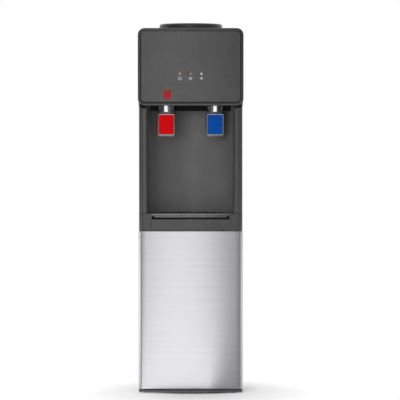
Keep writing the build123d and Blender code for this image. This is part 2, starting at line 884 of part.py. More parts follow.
with BuildPart() as tap_nozzles:
    with BuildSketch(Plane.XY.offset(tap_bottom + nozzle_lift)):
        with Locations(*[(side * tap_x, tap_front) for side in (-1, 1)]):
            Circle(nozzle_diameter / 2)
    extrude(amount=tap_tall - nozzle_lift)
    with BuildSketch(Plane.XY.offset(tap_bottom + nozzle_lift)):
        with Locations(*[(side * tap_x, tap_front) for side in (-1, 1)]):
            Circle(nozzle_bore / 2)
    extrude(amount=tap_tall - 2 * nozzle_lift, mode=Mode.SUBTRACT)
save(tap_nozzles.part, "tap_nozzles")

with BuildPart() as tap_pins:
    for side in (-1, 1):
        with BuildSketch(Plane.YZ.offset(side * tap_x)):
            with Locations((tap_pin_y, tap_pin_z)):
                Circle(tap_pin_diameter / 2)
        extrude(amount=tap_pin_length / 2, both=True)
save(tap_pins.part, "tap_pins")

with BuildPart() as tap_nuts:
    with BuildSketch(facing(carrier_front + carrier_wall + nut_thickness)):
        with Locations(*tap_places):
            RegularPolygon(nut_flats / 2, 6, major_radius=False)
            Circle(shank_diameter / 2 + pin_fit, mode=Mode.SUBTRACT)
    extrude(amount=nut_thickness)
save(tap_nuts.part, "tap_nuts")

# Tanks on their shelf, with the hot tank behind the alcove
shelf_thickness = 1.5
shelf_inset = 2.0
foam_floor = 13.5
foam_radius = 88.0
tank_radius = 70.0
tank_height = 115.0
tank_wall = 1.2
evaporator_thickness = 2.8
evaporator_rise = 25.0
evaporator_height = 60.0
spout_diameter = 10.0
spout_x = 30.0
spout_y = 25.0
spout_drop = 40.0
feed_x = -42.0
feed_y = 40.0
throat_radius = 30.0
funnel_wall = 3.0
jacket_radius = 62.0
hot_radius = 50.0
jacket_floor = 6.0
outlet_rise = 10.0
drain_reach = 12.0
shelf_top = head_bottom + shelf_thickness
tank_bottom = shelf_top + foam_floor
tank_top = tank_bottom + tank_height
hot_y = rear_inner - jacket_radius - slip
evaporator_inner = tank_radius + insert_fit
foam_bore = evaporator_inner + evaporator_thickness + insert_fit

with BuildPart() as tank_shelf:
    with BuildSketch(Plane.XY.offset(head_bottom)):
        shelf_front = bezel_back + shelf_inset
        shelf_back = cover_back - plastic_wall - seam
        with Locations((0, (shelf_front + shelf_back) / 2)):
            Rectangle(cover_width - 2 * plastic_wall - 2 * seam, shelf_back - shelf_front)
        with Locations((spout_x, spout_y), (feed_x, feed_y)):
            Circle(spout_diameter / 2 + hole_room, mode=Mode.SUBTRACT)
    extrude(amount=shelf_thickness)
save(tank_shelf.part, "tank_shelf")

with BuildPart() as tank_foam:
    with BuildSketch(Plane.XY.offset(shelf_top)):
        with Locations((0, collar_y)):
            Circle(foam_radius)
        with Locations((spout_x, spout_y), (feed_x, feed_y)):
            Circle(spout_diameter / 2 + hole_room, mode=Mode.SUBTRACT)
    extrude(amount=foam_floor)
    with BuildSketch(Plane.XY.offset(tank_bottom)):
        with Locations((0, collar_y)):
            Circle(foam_radius)
            Circle(foam_bore, mode=Mode.SUBTRACT)
    extrude(amount=tank_height - foam_floor / 2)
save(tank_foam.part, "tank_foam")

with BuildPart() as cold_tank:
    with BuildSketch(Plane.XY.offset(tank_bottom)):
        with Locations((0, collar_y)):
            Circle(tank_radius)
    extrude(amount=tank_height)
    with BuildSketch(Plane.XY.offset(tank_bottom + tank_wall)):
        with Locations((0, collar_y)):
            Circle(tank_radius - tank_wall)
    extrude(amount=tank_height - 2 * tank_wall, mode=Mode.SUBTRACT)
    with BuildSketch(Plane.XY.offset(tank_top - tank_wall)):
        with Locations((0, collar_y)):
            Circle(throat_radius + funnel_wall + hole_room)
    extrude(amount=tank_wall, mode=Mode.SUBTRACT)
    with BuildSketch(Plane.XY.offset(tank_bottom - spout_drop)):
        with Locations((spout_x, spout_y)):
            Circle(spout_diameter / 2)
            Circle(spout_diameter / 2 - tank_wall, mode=Mode.SUBTRACT)
    extrude(amount=spout_drop)
    with BuildSketch(Plane.XY.offset(hot_top)):
        with Locations((feed_x, feed_y)):
            Circle(spout_diameter / 2)
            Circle(spout_diameter / 2 - tank_wall, mode=Mode.SUBTRACT)
    extrude(amount=tank_bottom - hot_top)
save(cold_tank.part, "cold_tank")

with BuildPart() as evaporator:
    with BuildSketch(Plane.XY.offset(tank_bottom + evaporator_rise)):
        with Locations((0, collar_y)):
            Circle(evaporator_inner + evaporator_thickness)
            Circle(evaporator_inner, mode=Mode.SUBTRACT)
    extrude(amount=evaporator_height)
save(evaporator.part, "evaporator")

with BuildPart() as hot_tank:
    with BuildSketch(Plane.XY.offset(hot_bottom)):
        with Locations((drain_x, hot_y)):
            Circle(hot_radius)
    extrude(amount=hot_height)
    with BuildSketch(Plane.XY.offset(hot_bottom + tank_wall)):
        with Locations((drain_x, hot_y)):
            Circle(hot_radius - tank_wall)
    extrude(amount=hot_height - 2 * tank_wall, mode=Mode.SUBTRACT)
    with BuildSketch(Plane.XY.offset(hot_top)):
        with Locations((drain_x, hot_y)):
            Circle(spout_diameter / 2)
            Circle(spout_diameter / 2 - tank_wall, mode=Mode.SUBTRACT)
    extrude(amount=outlet_rise)
    with BuildSketch(facing(rear_outer + drain_reach)):
        with Locations((drain_x, drain_z)):
            Circle(drain_diameter / 2)
            Circle(drain_diameter / 2 - tank_wall, mode=Mode.SUBTRACT)
    extrude(amount=rear_outer + drain_reach - hot_y - hot_radius + tank_wall)
save(hot_tank.part, "hot_tank")

with BuildPart() as hot_tank_jacket:
    with BuildSketch(Plane.XY.offset(hot_bottom - jacket_floor)):
        with Locations((drain_x, hot_y)):
            Circle(jacket_radius)
    extrude(amount=hot_height)
    with BuildSketch(Plane.XY.offset(hot_bottom)):
        with Locations((drain_x, hot_y)):
            Circle(hot_radius + slip)
    extrude(amount=hot_height, mode=Mode.SUBTRACT)
    with BuildSketch(facing(rear_inner)):
        with Locations((drain_x, drain_z)):
            Circle(drain_diameter / 2 + slip)
    extrude(amount=jacket_radius, mode=Mode.SUBTRACT)
save(hot_tank_jacket.part, "hot_tank_jacket")

# Hoses from the tanks to the tap shanks
hot_bend = 20.0
cold_bend = 12.0
cold_loop_y = -6.0
cold_loop_drop = 58.0
hose(
    [
        (-tap_x, shank_end, shank_z),
        (-tap_x, hot_y, shank_z),
        (-tap_x, hot_y, hot_top + outlet_rise),
    ],
    hot_bend,
    hose_diameter,
    "hot_hose",
)
hose(
    [
        (tap_x, shank_end, shank_z),
        (tap_x, cold_loop_y, shank_z),
        (tap_x, cold_loop_y, shank_z - cold_loop_drop),
        (spout_x, spout_y, shank_z - cold_loop_drop),
        (spout_x, spout_y, tank_bottom - spout_drop),
    ],
    cold_bend,
    hose_diameter,
    "cold_hose",
)

# Bottle seat: collar with its funnel, and the probe that opens the bottle cap
collar_radius = 85.0
collar_round = 6.0
seat_radius = 72.0
funnel_radius = 66.0
funnel_drop = 28.0
cone_drop = 28.0
throat_dip = 8.0
probe_radius = 12.0
probe_wall = 2.5
probe_below_top = 14.0
probe_flange = 4.0
inlet_diameter = 8.0
throat_bottom = tank_top - throat_dip
funnel_bottom = collar_top - funnel_drop
cone_bottom = funnel_bottom - cone_drop
neck_radius = collar_hole / 2 - slip
seat_axis = Axis((0, collar_y, 0), (0, 0, 1))

with BuildPart() as bottle_collar:
    with BuildSketch(facing(collar_y)) as collar_profile:
        with BuildLine():
            Polyline(
                (neck_radius, head_top),
                (collar_radius, head_top),
                (collar_radius, collar_top),
                (seat_radius, collar_top),
                (funnel_radius, funnel_bottom),
                (throat_radius, cone_bottom),
                (throat_radius, throat_bottom),
                (throat_radius + funnel_wall, throat_bottom),
                (throat_radius + funnel_wall, cone_bottom - funnel_wall / 2),
                (funnel_radius + funnel_wall, funnel_bottom - funnel_wall / 2),
                (neck_radius, head_top - plastic_wall),
                close=True,
            )
        make_face()
        fillet(collar_profile.vertices().group_by(Axis.Y)[-1].sort_by(Axis.X)[-1], collar_round)
    revolve(axis=seat_axis)
save(bottle_collar.part, "bottle_collar")

with BuildPart() as bottle_probe:
    with BuildSketch(Plane.XY.offset(throat_bottom)):
        with Locations((0, collar_y)):
            Circle(throat_radius - slip)
    extrude(amount=probe_flange)
    with BuildSketch(Plane.XY.offset(throat_bottom)):
        with Locations((0, collar_y)):
            Circle(probe_radius)
    extrude(amount=collar_top - probe_below_top - throat_bottom)
    fillet(bottle_probe.faces().sort_by(Axis.Z)[-1].edges(), probe_radius - probe_wall)
    with BuildSketch(Plane.XY.offset(throat_bottom)):
        with Locations((0, collar_y)):
            Circle(probe_radius - probe_wall)
    extrude(amount=collar_top - probe_below_top - probe_radius - throat_bottom, mode=Mode.SUBTRACT)
    with BuildSketch(facing(collar_y)):
        with Locations((0, collar_top - probe_below_top - 2 * probe_radius)):
            Circle(inlet_diameter / 2)
    extrude(amount=probe_radius, both=True, mode=Mode.SUBTRACT)
save(bottle_probe.part, "bottle_probe")

# Compressor on its rubber mounts, in the bay behind the cabinet
compressor_x = 10.0
compressor_height = 138.0
compressor_dome = 28.0
compressor_shell = 2.5
mount_diameter = 22.0
mount_height = 12.0
mount_span_x = 128.0
mount_span_y = 88.0
foot_plate = 3.0
plate_margin = 26.0
discharge_rise = 96.0
plate_bottom = base_top + mount_height
shell_bottom = plate_bottom + foot_plate
discharge_z = shell_bottom + discharge_rise

with BuildPart() as compressor:
    with BuildSketch(Plane.XY.offset(shell_bottom)):
        with Locations((compressor_x, compressor_y)):
            Circle(compressor_radius)
    extrude(amount=compressor_height)
    fillet(compressor.edges().filter_by(GeomType.CIRCLE), compressor_dome)
    with BuildSketch(Plane.XY.offset(plate_bottom)):
        with Locations((compressor_x, compressor_y)):
            RectangleRounded(mount_span_x + plate_margin, mount_span_y + plate_margin, plate_margin / 2)
    extrude(amount=foot_plate)
    with BuildSketch(Plane.XY.offset(shell_bottom + compressor_dome)):
        with Locations((compressor_x, compressor_y)):
            Circle(compressor_radius - compressor_shell)
    extrude(amount=compressor_height - 2 * compressor_dome, mode=Mode.SUBTRACT)
save(compressor.part, "compressor")

with BuildPart() as compressor_mounts:
    with BuildSketch(Plane.XY.offset(base_top)):
        with Locations((compressor_x, compressor_y)):
            with GridLocations(mount_span_x, mount_span_y, 2, 2):
                Circle(mount_diameter / 2)
    extrude(amount=mount_height)
    chamfer(compressor_mounts.edges().group_by(Axis.Z)[-1], mount_height / 6)
save(compressor_mounts.part, "compressor_mounts")

# Condenser: one serpentine tube from the compressor, with wires on both faces, held by four clips
wire_diameter = 1.6
wire_pitch = 12.0
wire_count = 14
wire_overhang = 10.0
wire_touch = 0.05
bend_room = 1.0
end_bend = 12.0
end_reach = 6.0
clip_width = 10.0
clip_height = 18.0
coil_bend = coil_pitch / 2 - bend_room
clip_x = coil_half - coil_bend - clip_width / 2 - bend_room
coil_points = [
    (compressor_x, compressor_y + compressor_radius + slip, discharge_z),
    (compressor_x, coil_depth, discharge_z),
    (coil_half, coil_depth, discharge_z),
]
for row in range(coil_rows):
    start = coil_half if row % 2 == 0 else -coil_half
    row_z = coil_bottom + row * coil_pitch
    coil_points += [(start, coil_depth, row_z), (-start, coil_depth, row_z)]
coil_points.append((coil_end_x, rear_inner - end_reach, coil_top))
hose(coil_points, [coil_bend] * (len(coil_points) - 3) + [end_bend], tube_diameter, "condenser_tube")

wire_offset = tube_diameter / 2 + wire_diameter / 2 + wire_touch
with BuildPart() as condenser_wires:
    with BuildSketch(Plane.XY.offset(coil_bottom - wire_overhang)):
        with Locations((0, coil_depth)):
            with GridLocations(wire_pitch, 2 * wire_offset, wire_count, 2):
                Circle(wire_diameter / 2)
    extrude(amount=coil_top - coil_bottom + 2 * wire_overhang)
save(condenser_wires.part, "condenser_wires")

with BuildPart() as condenser_clips:
    with BuildSketch(facing(overall_depth / 2)):
        with Locations((0, (coil_bottom + coil_top) / 2)):
            with GridLocations(2 * clip_x, coil_top - coil_bottom, 2, 2):
                RectangleRounded(clip_width, clip_height, clip_width / 5)
    extrude(amount=overall_depth / 2 - rear_outer)
    with BuildSketch(Plane.YZ):
        with Locations((coil_depth, coil_bottom), (coil_depth, coil_top)):
            Circle(tube_diameter / 2 + pin_fit)
    extrude(amount=head_width, both=True, mode=Mode.SUBTRACT)
save(condenser_clips.part, "condenser_clips")

# Rear fittings: switch plate with two rockers, drain cap and cord gland
plate_flange = 3.0
flange_thickness = 2.0
skirt_depth = 12.0
rocker_spacing = 28.0
rocker_width = 16.0
rocker_half = 12.0
rocker_depth = 10.0
rocker_proud = 2.5
rocker_dip = 1.0
rocker_pin = 3.0
rocker_pin_reach = 1.5
rocker_setback = 4.0
rocker_swing = 1.4
rocker_pivot_y = rear_outer - rocker_setback
rocker_places = [(switch_x + side * rocker_spacing / 2, switch_z) for side in (1, -1)]

with BuildPart() as switch_plate:
    with BuildSketch(facing(rear_outer)):
        with Locations((switch_x, switch_z)):
            RectangleRounded(switch_width + 2 * plate_flange, switch_height + 2 * plate_flange, plate_flange)
    extrude(amount=-flange_thickness)
    with BuildSketch(facing(rear_outer)):
        with Locations((switch_x, switch_z)):
            Rectangle(switch_width - 2 * slip, switch_height - 2 * slip)
    extrude(amount=skirt_depth)
    with BuildSketch(facing(rear_outer + flange_thickness)):
        with Locations(*rocker_places):
            Rectangle(rocker_width + 2 * seam, 2 * (rocker_half + rocker_swing))
    extrude(amount=skirt_depth + flange_thickness, mode=Mode.SUBTRACT)
    with BuildSketch(Plane.YZ.offset(switch_x)):
        with Locations((rocker_pivot_y, switch_z)):
            Circle(rocker_pin / 2 + pin_fit)
    extrude(
        amount=rocker_spacing / 2 + rocker_width / 2 + rocker_pin_reach + seam,
        both=True,
        mode=Mode.SUBTRACT,
    )
save(switch_plate.part, "switch_plate")

for place, label in zip(rocker_places, ("hot_switch", "cold_switch")):
    with BuildPart() as rocker:
        with BuildSketch(Plane.YZ.offset(place[0])):
            with BuildLine():
                Polyline(
                    (rear_outer + rocker_proud, switch_z + rocker_half),
                    (rear_outer + rocker_proud - rocker_dip, switch_z),
                    (rear_outer + rocker_proud, switch_z - rocker_half),
                    (rear_outer - rocker_depth, switch_z - rocker_half / 2),
                    (rear_outer - rocker_depth, switch_z + rocker_half / 2),
                    close=True,
                )
            make_face()
        extrude(amount=rocker_width / 2, both=True)
        with BuildSketch(Plane.YZ.offset(place[0])):
            with Locations((rocker_pivot_y, switch_z)):
                Circle(rocker_pin / 2)
        extrude(amount=rocker_width / 2 + rocker_pin_reach, both=True)
    save(rocker.part, label)

cap_diameter = 22.0
cap_end = 4.0
flute_count = 12
with BuildPart() as drain_cap:
    with BuildSketch(facing(rear_outer + drain_reach + slip + cap_end)):
        with Locations((drain_x, drain_z)):
            Circle(cap_diameter / 2)
            with PolarLocations(cap_diameter / 2, flute_count):
                Circle(cap_end / 4, mode=Mode.SUBTRACT)
    extrude(amount=drain_reach + cap_end - slip)
    with BuildSketch(facing(rear_outer + drain_reach + slip)):
        with Locations((drain_x, drain_z)):
            Circle(drain_diameter / 2 + pin_fit)
    extrude(amount=drain_reach + slip, mode=Mode.SUBTRACT)
save(drain_cap.part, "drain_cap")

gland_flange = 20.0
gland_flange_thickness = 2.0
with BuildPart() as cord_gland:
    with BuildSketch(facing(rear_outer + gland_flange_thickness)):
        with Locations((gland_x, gland_z)):
            Circle(gland_flange / 2)
    extrude(amount=gland_flange_thickness)
    with BuildSketch(facing(rear_outer)):
        with Locations((gland_x, gland_z)):
            Circle(gland_diameter / 2 - pin_fit)
    extrude(amount=sheet)
    with BuildSketch(facing(rear_inner)):
        with Locations((gland_x, gland_z)):
            Circle(gland_flange / 2)
    extrude(amount=gland_flange_thickness)
    with BuildSketch(facing(rear_outer + gland_flange_thickness)):
        with Locations((gland_x, gland_z)):
            Circle(gland_bore / 2)
    extrude(amount=2 * gland_flange_thickness + sheet, mode=Mode.SUBTRACT)
save(cord_gland.part, "cord_gland")
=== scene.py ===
"""Looks of a free-standing water dispenser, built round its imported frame. Lengths are in metres."""

import logging
import math
from dataclasses import dataclass, field
from enum import Enum

import bmesh
import bpy
import numpy as np
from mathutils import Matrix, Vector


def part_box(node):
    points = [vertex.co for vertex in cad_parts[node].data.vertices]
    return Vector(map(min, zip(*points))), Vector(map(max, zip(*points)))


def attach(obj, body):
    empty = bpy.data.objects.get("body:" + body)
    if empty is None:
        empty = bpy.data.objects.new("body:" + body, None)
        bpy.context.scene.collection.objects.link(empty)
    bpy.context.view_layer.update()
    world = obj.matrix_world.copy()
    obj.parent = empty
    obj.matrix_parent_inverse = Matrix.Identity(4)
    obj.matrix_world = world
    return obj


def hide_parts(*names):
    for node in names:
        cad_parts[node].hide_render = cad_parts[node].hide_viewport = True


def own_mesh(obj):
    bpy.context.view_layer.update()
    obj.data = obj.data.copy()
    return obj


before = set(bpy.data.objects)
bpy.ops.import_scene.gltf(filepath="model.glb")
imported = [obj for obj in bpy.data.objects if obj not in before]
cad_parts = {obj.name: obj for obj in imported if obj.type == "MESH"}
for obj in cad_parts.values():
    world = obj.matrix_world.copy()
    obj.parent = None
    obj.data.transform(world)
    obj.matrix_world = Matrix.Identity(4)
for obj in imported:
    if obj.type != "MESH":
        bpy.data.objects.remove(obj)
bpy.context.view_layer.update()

LOG = logging.getLogger("dispenser")
MM = 0.001
TURN = 2 * math.pi
SEAM = 1e-6
SHARP = math.radians(38)
TAP_SPREAD = 65.0 * MM
WHITE = (1.0, 1.0, 1.0, 1.0)
Pair = tuple[float, float]
Point = tuple[float, float, float]
Socket = bpy.types.NodeSocket


class Body(Enum):
    """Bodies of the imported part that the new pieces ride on."""

    CABINET = "cabinet"
    DOOR = "door"
    GRILLE = "grille"
    HOT_LEVER = "hot_lever"
    COLD_LEVER = "cold_lever"


class Tree:
    """Adds nodes to a material or the world and joins them."""

    def __init__(self, owner: bpy.types.Material | bpy.types.World, shader: str = "Principled BSDF") -> None:
        """Open the node tree of its owner.

        Args:
            owner: the material or the world.
            shader: name of the shader on its output.
        """
        owner.use_nodes = True
        self.nodes = owner.node_tree.nodes
        self.links = owner.node_tree.links
        self.shader = self.nodes[shader]
        self.place = self.nodes.new("ShaderNodeTexCoord")

    def node(self, kind: str, inputs: dict | None = None, **settings: object) -> bpy.types.Node:
        """Add one node.

        Args:
            kind: type of the node without its ShaderNode prefix.
            inputs: socket values, or sockets to join, by socket name or number.
            settings: properties of the node.

        Returns:
            The new node.
        """
        made = self.nodes.new("ShaderNode" + kind)
        for key, value in settings.items():
            setattr(made, key, value)
        for key, value in (inputs or {}).items():
            self.feed(made.inputs[key], value)
        return made

    def feed(self, socket: Socket, value: object) -> None:
        """Set a socket to a value, or join it to another socket.

        Args:
            socket: the input socket.
            value: a plain value or an output socket.
        """
        if isinstance(value, Socket):
            self.links.new(value, socket)
        else:
            socket.default_value = value

    def noise(self, cells: Point, detail: float = 3.0) -> Socket:
        """Fractal noise stretched along the axes.

        Args:
            cells: cells per metre along x, y and z.
            detail: number of octaves.

        Returns:
            The noise value, from 0 to 1.
        """
        stretch = self.node("Mapping", {"Vector": self.place.outputs["Object"], "Scale": cells})
        texture = self.node("TexNoise", {"Vector": stretch.outputs[0], "Scale": 1.0, "Detail": detail})
        return texture.outputs["Fac"]

    def span(self, value: Socket, low: float, high: float, start: float = 0.3, end: float = 0.7) -> Socket:
        """Carry a value from one range to another, held at the ends.

        Args:
            value: socket to carry over.
            low: result at the start.
            high: result at the end.
            start: value where the result is low.
            end: value where the result is high.

        Returns:
            The carried value.
        """
        ranged = self.node("MapRange", {0: value, 1: start, 2: end, 3: low, 4: high})
        return ranged.outputs[0]

    def math(self, operation: str, first: object, second: object = 0.0) -> Socket:
        """Work out one value from two.

        Args:
            operation: what is done with them.
            first: value or socket.
            second: value or socket.

        Returns:
            The result.
        """
        return self.node("Math", {0: first, 1: second}, operation=operation).outputs[0]

    def rays(self) -> tuple[Socket, Socket]:
        """Tell rays apart.

        Returns:
            1 where a ray comes from the camera, and 1 where it was mirrored or let through.
        """
        path = self.node("LightPath").outputs
        mirrored = self.math("MAXIMUM", path["Is Glossy Ray"], path["Is Transmission Ray"])
        return path["Is Camera Ray"], mirrored

    def mix(self, share: object, first: object, second: object) -> Socket:
        """Blend two colours.

        Args:
            share: how much of the second colour shows.
            first: colour or socket.
            second: colour or socket.

        Returns:
            The blended colour.
        """
        blend = self.node("Mix", {0: share, 6: first, 7: second}, data_type="RGBA")
        return blend.outputs[2]

    def tones(self, share: object, colour: Point, dark: float, light: float) -> Socket:
        """Blend a darker and a lighter tone of one colour.

        Args:
            share: how much of the lighter tone shows.
            colour: linear colour.
            dark: gain of the darker tone.
            light: gain of the lighter tone.

        Returns:
            The blended colour.
        """
        return self.mix(share, shade(colour, dark), shade(colour, light))

    def relief(self, height: Socket, depth: float) -> None:
        """Raise the surface by a height value.

        Args:
            height: socket with the height, from 0 to 1.
            depth: height of 1 in metres.
        """
        self.set(Normal=self.node("Bump", {"Height": height, "Distance": depth, "Strength": 1.0}).outputs[0])

    def set(self, **values: object) -> None:
        """Feed sockets of the shader, named with underscores for spaces."""
        for key, value in values.items():
            self.feed(self.shader.inputs[key.replace("_", " ")], value)


def shade(colour: Point, gain: float) -> tuple[float, ...]:
    """Scale a linear colour and give it full cover."""
    return (colour[0] * gain, colour[1] * gain, colour[2] * gain, 1.0)


@dataclass(frozen=True)
class Finish:
    """A surface that pieces can be dressed in.

    Attributes:
        name: name of the material and of the record's slot.
        colour: linear base colour.
        roughness: roughness of the bare surface.
    """

    name: str
    colour: Point
    roughness: float

    def build(self) -> bpy.types.Material:
        """Make the finish's material, once.

        Returns:
            The material.
        """
        name = "finish_" + self.name
        made = bpy.data.materials.get(name)
        if not made:
            made = bpy.data.materials.new(name)
            self.dress(Tree(made))
            made.diffuse_color = shade(self.colour, 1.0)
        return made

    def dress(self, tree: Tree) -> None:
        """Fill the shader; each kind of finish has its own way."""
        raise NotImplementedError


@dataclass(frozen=True)
class Moulded(Finish):
    """Injection-moulded plastic with a spark-eroded grain and a slight cloudiness.

    Attributes:
        grain: grain cells per metre.
        depth: height of the grain in metres.
        coat: share of a clear glossy layer.
        specular: specular level.
    """

    grain: float = 1400.0
    depth: float = 0.00006
    coat: float = 0.0
    specular: float = 0.5

    def dress(self, tree: Tree) -> None:
        """Grain as relief, handling marks in the roughness, and cloudy colour.

        Args:
            tree: node tree of the material.
        """
        cloud = tree.noise((18.0, 18.0, 18.0))
        marks = tree.noise((70.0, 70.0, 26.0), 5.0)
        colour = tree.tones(tree.span(cloud, 0.0, 1.0), self.colour, 0.93, 1.07)
        rough = tree.span(marks, self.roughness - 0.025, self.roughness + 0.025)
        tree.set(Base_Color=colour, Roughness=rough, Specular_IOR_Level=self.specular, Coat_Weight=self.coat)
        tree.set(Coat_Roughness=0.08)
        tree.relief(tree.noise((self.grain,) * 3, 2.0), self.depth)


@dataclass(frozen=True)
class PaintedLitRecess(Moulded):
    """Casing plastic whose recess gets a paler tone as painted light, standing in for the light falling into
    it, and a duller surface.

    Attributes:
        recess_painted_light: linear colour painted in the recess, paler as painted light.
        dull: roughness of the recess.
        opening: half width of the recess.
    """

    recess_painted_light: Point = (0.077, 0.077, 0.077)
    dull: float = 0.5
    opening: float = 113.0 * MM

    def dress(self, tree: Tree) -> None:
        """The casing's own tone and a paler tone painted in the recess as light, meeting at its edges, both
        cloudy, under one grain.

        Args:
            tree: node tree of the material.
        """
        place = tree.node("SeparateXYZ", {0: tree.place.outputs["Object"]})
        aside = tree.math("ABSOLUTE", place.outputs[0])
        inside = tree.span(aside, 1.0, 0.0, self.opening - MM, self.opening + MM)
        cloud = tree.span(tree.noise((18.0, 18.0, 18.0)), 0.0, 1.0)
        case = tree.tones(cloud, self.colour, 0.93, 1.07)
        # paler tone in the recess: painted light for the light falling into it
        pale = tree.tones(cloud, self.recess_painted_light, 0.93, 1.07)
        tree.set(Base_Color=tree.mix(inside, case, pale), Specular_IOR_Level=self.specular)
        tree.set(Roughness=tree.span(inside, self.roughness, self.dull, 0.0, 1.0))
        tree.relief(tree.noise((self.grain,) * 3, 2.0), self.depth)


@dataclass(frozen=True)
class Brushed(Finish):
    """Sheet metal brushed along x, with fine streaks.

    Attributes:
        streaks: streaks per metre across the brushing.
        along: streak changes per metre along the brushing.
        direction: how far the highlight spreads across the streaks.
        tangent: name of the map whose first direction is the brushing, or empty.
    """

    streaks: float = 900.0
    along: float = 7.0
    direction: float = 0.0
    tangent: str = ""

    def dress(self, tree: Tree) -> None:
        """Streaks in the colour and roughness, and hairline relief.

        Args:
            tree: node tree of the material.
        """
        fine = tree.noise((self.along, self.along, self.streaks), 4.0)
        broad = tree.noise((self.along * 0.4, self.along, self.streaks * 0.12), 2.0)
        share = tree.span(tree.math("ADD", fine, broad), 0.0, 1.0, 0.7, 1.3)
        tree.set(Base_Color=tree.tones(share, self.colour, 0.96, 1.03))
        tree.set(Roughness=tree.span(fine, self.roughness - 0.02, self.roughness + 0.02))
        tree.set(Metallic=1.0, Anisotropic=self.direction)
        if self.tangent:
            along = tree.node("Tangent", direction_type="UV_MAP", uv_map=self.tangent)
            tree.set(Tangent=along.outputs[0])
        tree.relief(fine, 0.000005)


@dataclass(frozen=True)
class Coated(Finish):
    """Painted or enamelled sheet metal with a slight orange peel.

    Attributes:
        peel: peel cells per metre.
        depth: height of the peel in metres.
        specular: specular level.
    """

    peel: float = 420.0
    depth: float = 0.00005
    specular: float = 0.5

    def dress(self, tree: Tree) -> None:
        """Orange peel as relief, dust in the roughness and a slight drift of colour.

        Args:
            tree: node tree of the material.
        """
        drift = tree.noise((9.0, 9.0, 9.0))
        dust = tree.noise((120.0, 120.0, 120.0), 6.0)
        tree.set(Base_Color=tree.tones(tree.span(drift, 0.0, 1.0), self.colour, 0.92, 1.08))
        tree.set(Roughness=tree.span(dust, self.roughness - 0.06, self.roughness + 0.08))
        tree.set(Specular_IOR_Level=self.specular)
        tree.relief(tree.noise((self.peel,) * 3, 1.0), self.depth)


@dataclass(frozen=True)
class Bare(Finish):
    """Bare metal: plated, turned or galvanised.

    Attributes:
        flakes: crystal flakes per metre, 0 for none.
    """

    flakes: float = 0.0

    def dress(self, tree: Tree) -> None:
        """Flakes or a faint stain in the colour and roughness.

        Args:
            tree: node tree of the material.
        """
        stain = tree.noise((45.0, 45.0, 45.0), 5.0)
        share = tree.span(stain, 0.0, 1.0)
        if self.flakes:
            cells = tree.node("TexVoronoi", {"Vector": tree.place.outputs["Object"], "Scale": self.flakes})
            share = tree.node("Mix", {0: 0.7, 2: share, 3: cells.outputs["Color"]}).outputs[0]
        tree.set(Base_Color=tree.tones(share, self.colour, 0.85, 1.1))
        tree.set(Roughness=tree.span(share, self.roughness - 0.06, self.roughness + 0.08, 0.0, 1.0))
        tree.set(Metallic=1.0)
        tree.relief(tree.noise((900.0,) * 3, 2.0), 0.00001)


@dataclass(frozen=True)
class Soft(Finish):
    """Rubber, foam or silicone with an open skin.

    Attributes:
        cells: cells per metre.
        depth: depth of the cells in metres.
        glow: share of light carried under the surface.
    """

    cells: float = 300.0
    depth: float = 0.0002
    glow: float = 0.0

    def dress(self, tree: Tree) -> None:
        """Rounded cells as relief, darker between them.

        Args:
            tree: node tree of the material.
        """
        beads = tree.node("TexVoronoi", {"Vector": tree.place.outputs["Object"], "Scale": self.cells})
        gap = tree.span(beads.outputs["Distance"], 1.0, 0.0, 0.0, 0.9)
        tree.set(Base_Color=tree.tones(gap, self.colour, 0.82, 1.05))
        tree.set(Roughness=self.roughness)
        tree.set(Subsurface_Weight=self.glow, Subsurface_Radius=(0.004, 0.004, 0.004))
        tree.relief(gap, self.depth)


@dataclass(frozen=True)
class Lens(Finish):
    """Clear tinted plastic of a signal lens.

    Attributes:
        glow: strength of the light it gives off.
    """

    glow: float = 0.0

    def dress(self, tree: Tree) -> None:
        """Tinted body, a little uneven, under a glossy skin.

        Args:
            tree: node tree of the material.
        """
        drift = tree.noise((500.0, 500.0, 500.0), 2.0)
        tree.set(Base_Color=tree.tones(tree.span(drift, 0.0, 1.0), self.colour, 0.9, 1.1))
        tree.set(Roughness=self.roughness, Coat_Weight=1.0, Coat_Roughness=0.04, Transmission_Weight=0.15)
        tree.set(Emission_Color=shade(self.colour, 1.0), Emission_Strength=self.glow)


@dataclass(frozen=True)
class Board(Finish):
    """Printed circuit board with tracks under its lacquer."""

    def dress(self, tree: Tree) -> None:
        """Tracks as blocks of two greens, raised a little.

        Args:
            tree: node tree of the material.
        """
        upright = {"Vector": tree.place.outputs["Object"], "Rotation": (math.pi / 2, 0.0, 0.0)}
        place = tree.node("Mapping", upright).outputs[0]
        tracks = tree.node("TexBrick", {"Vector": place, "Scale": 160.0, "Mortar Size": 0.09})
        share = tracks.outputs["Fac"]
        tree.set(Base_Color=tree.tones(share, self.colour, 0.8, 1.8))
        tree.set(Roughness=self.roughness, Coat_Weight=0.5)
        tree.relief(share, 0.00004)


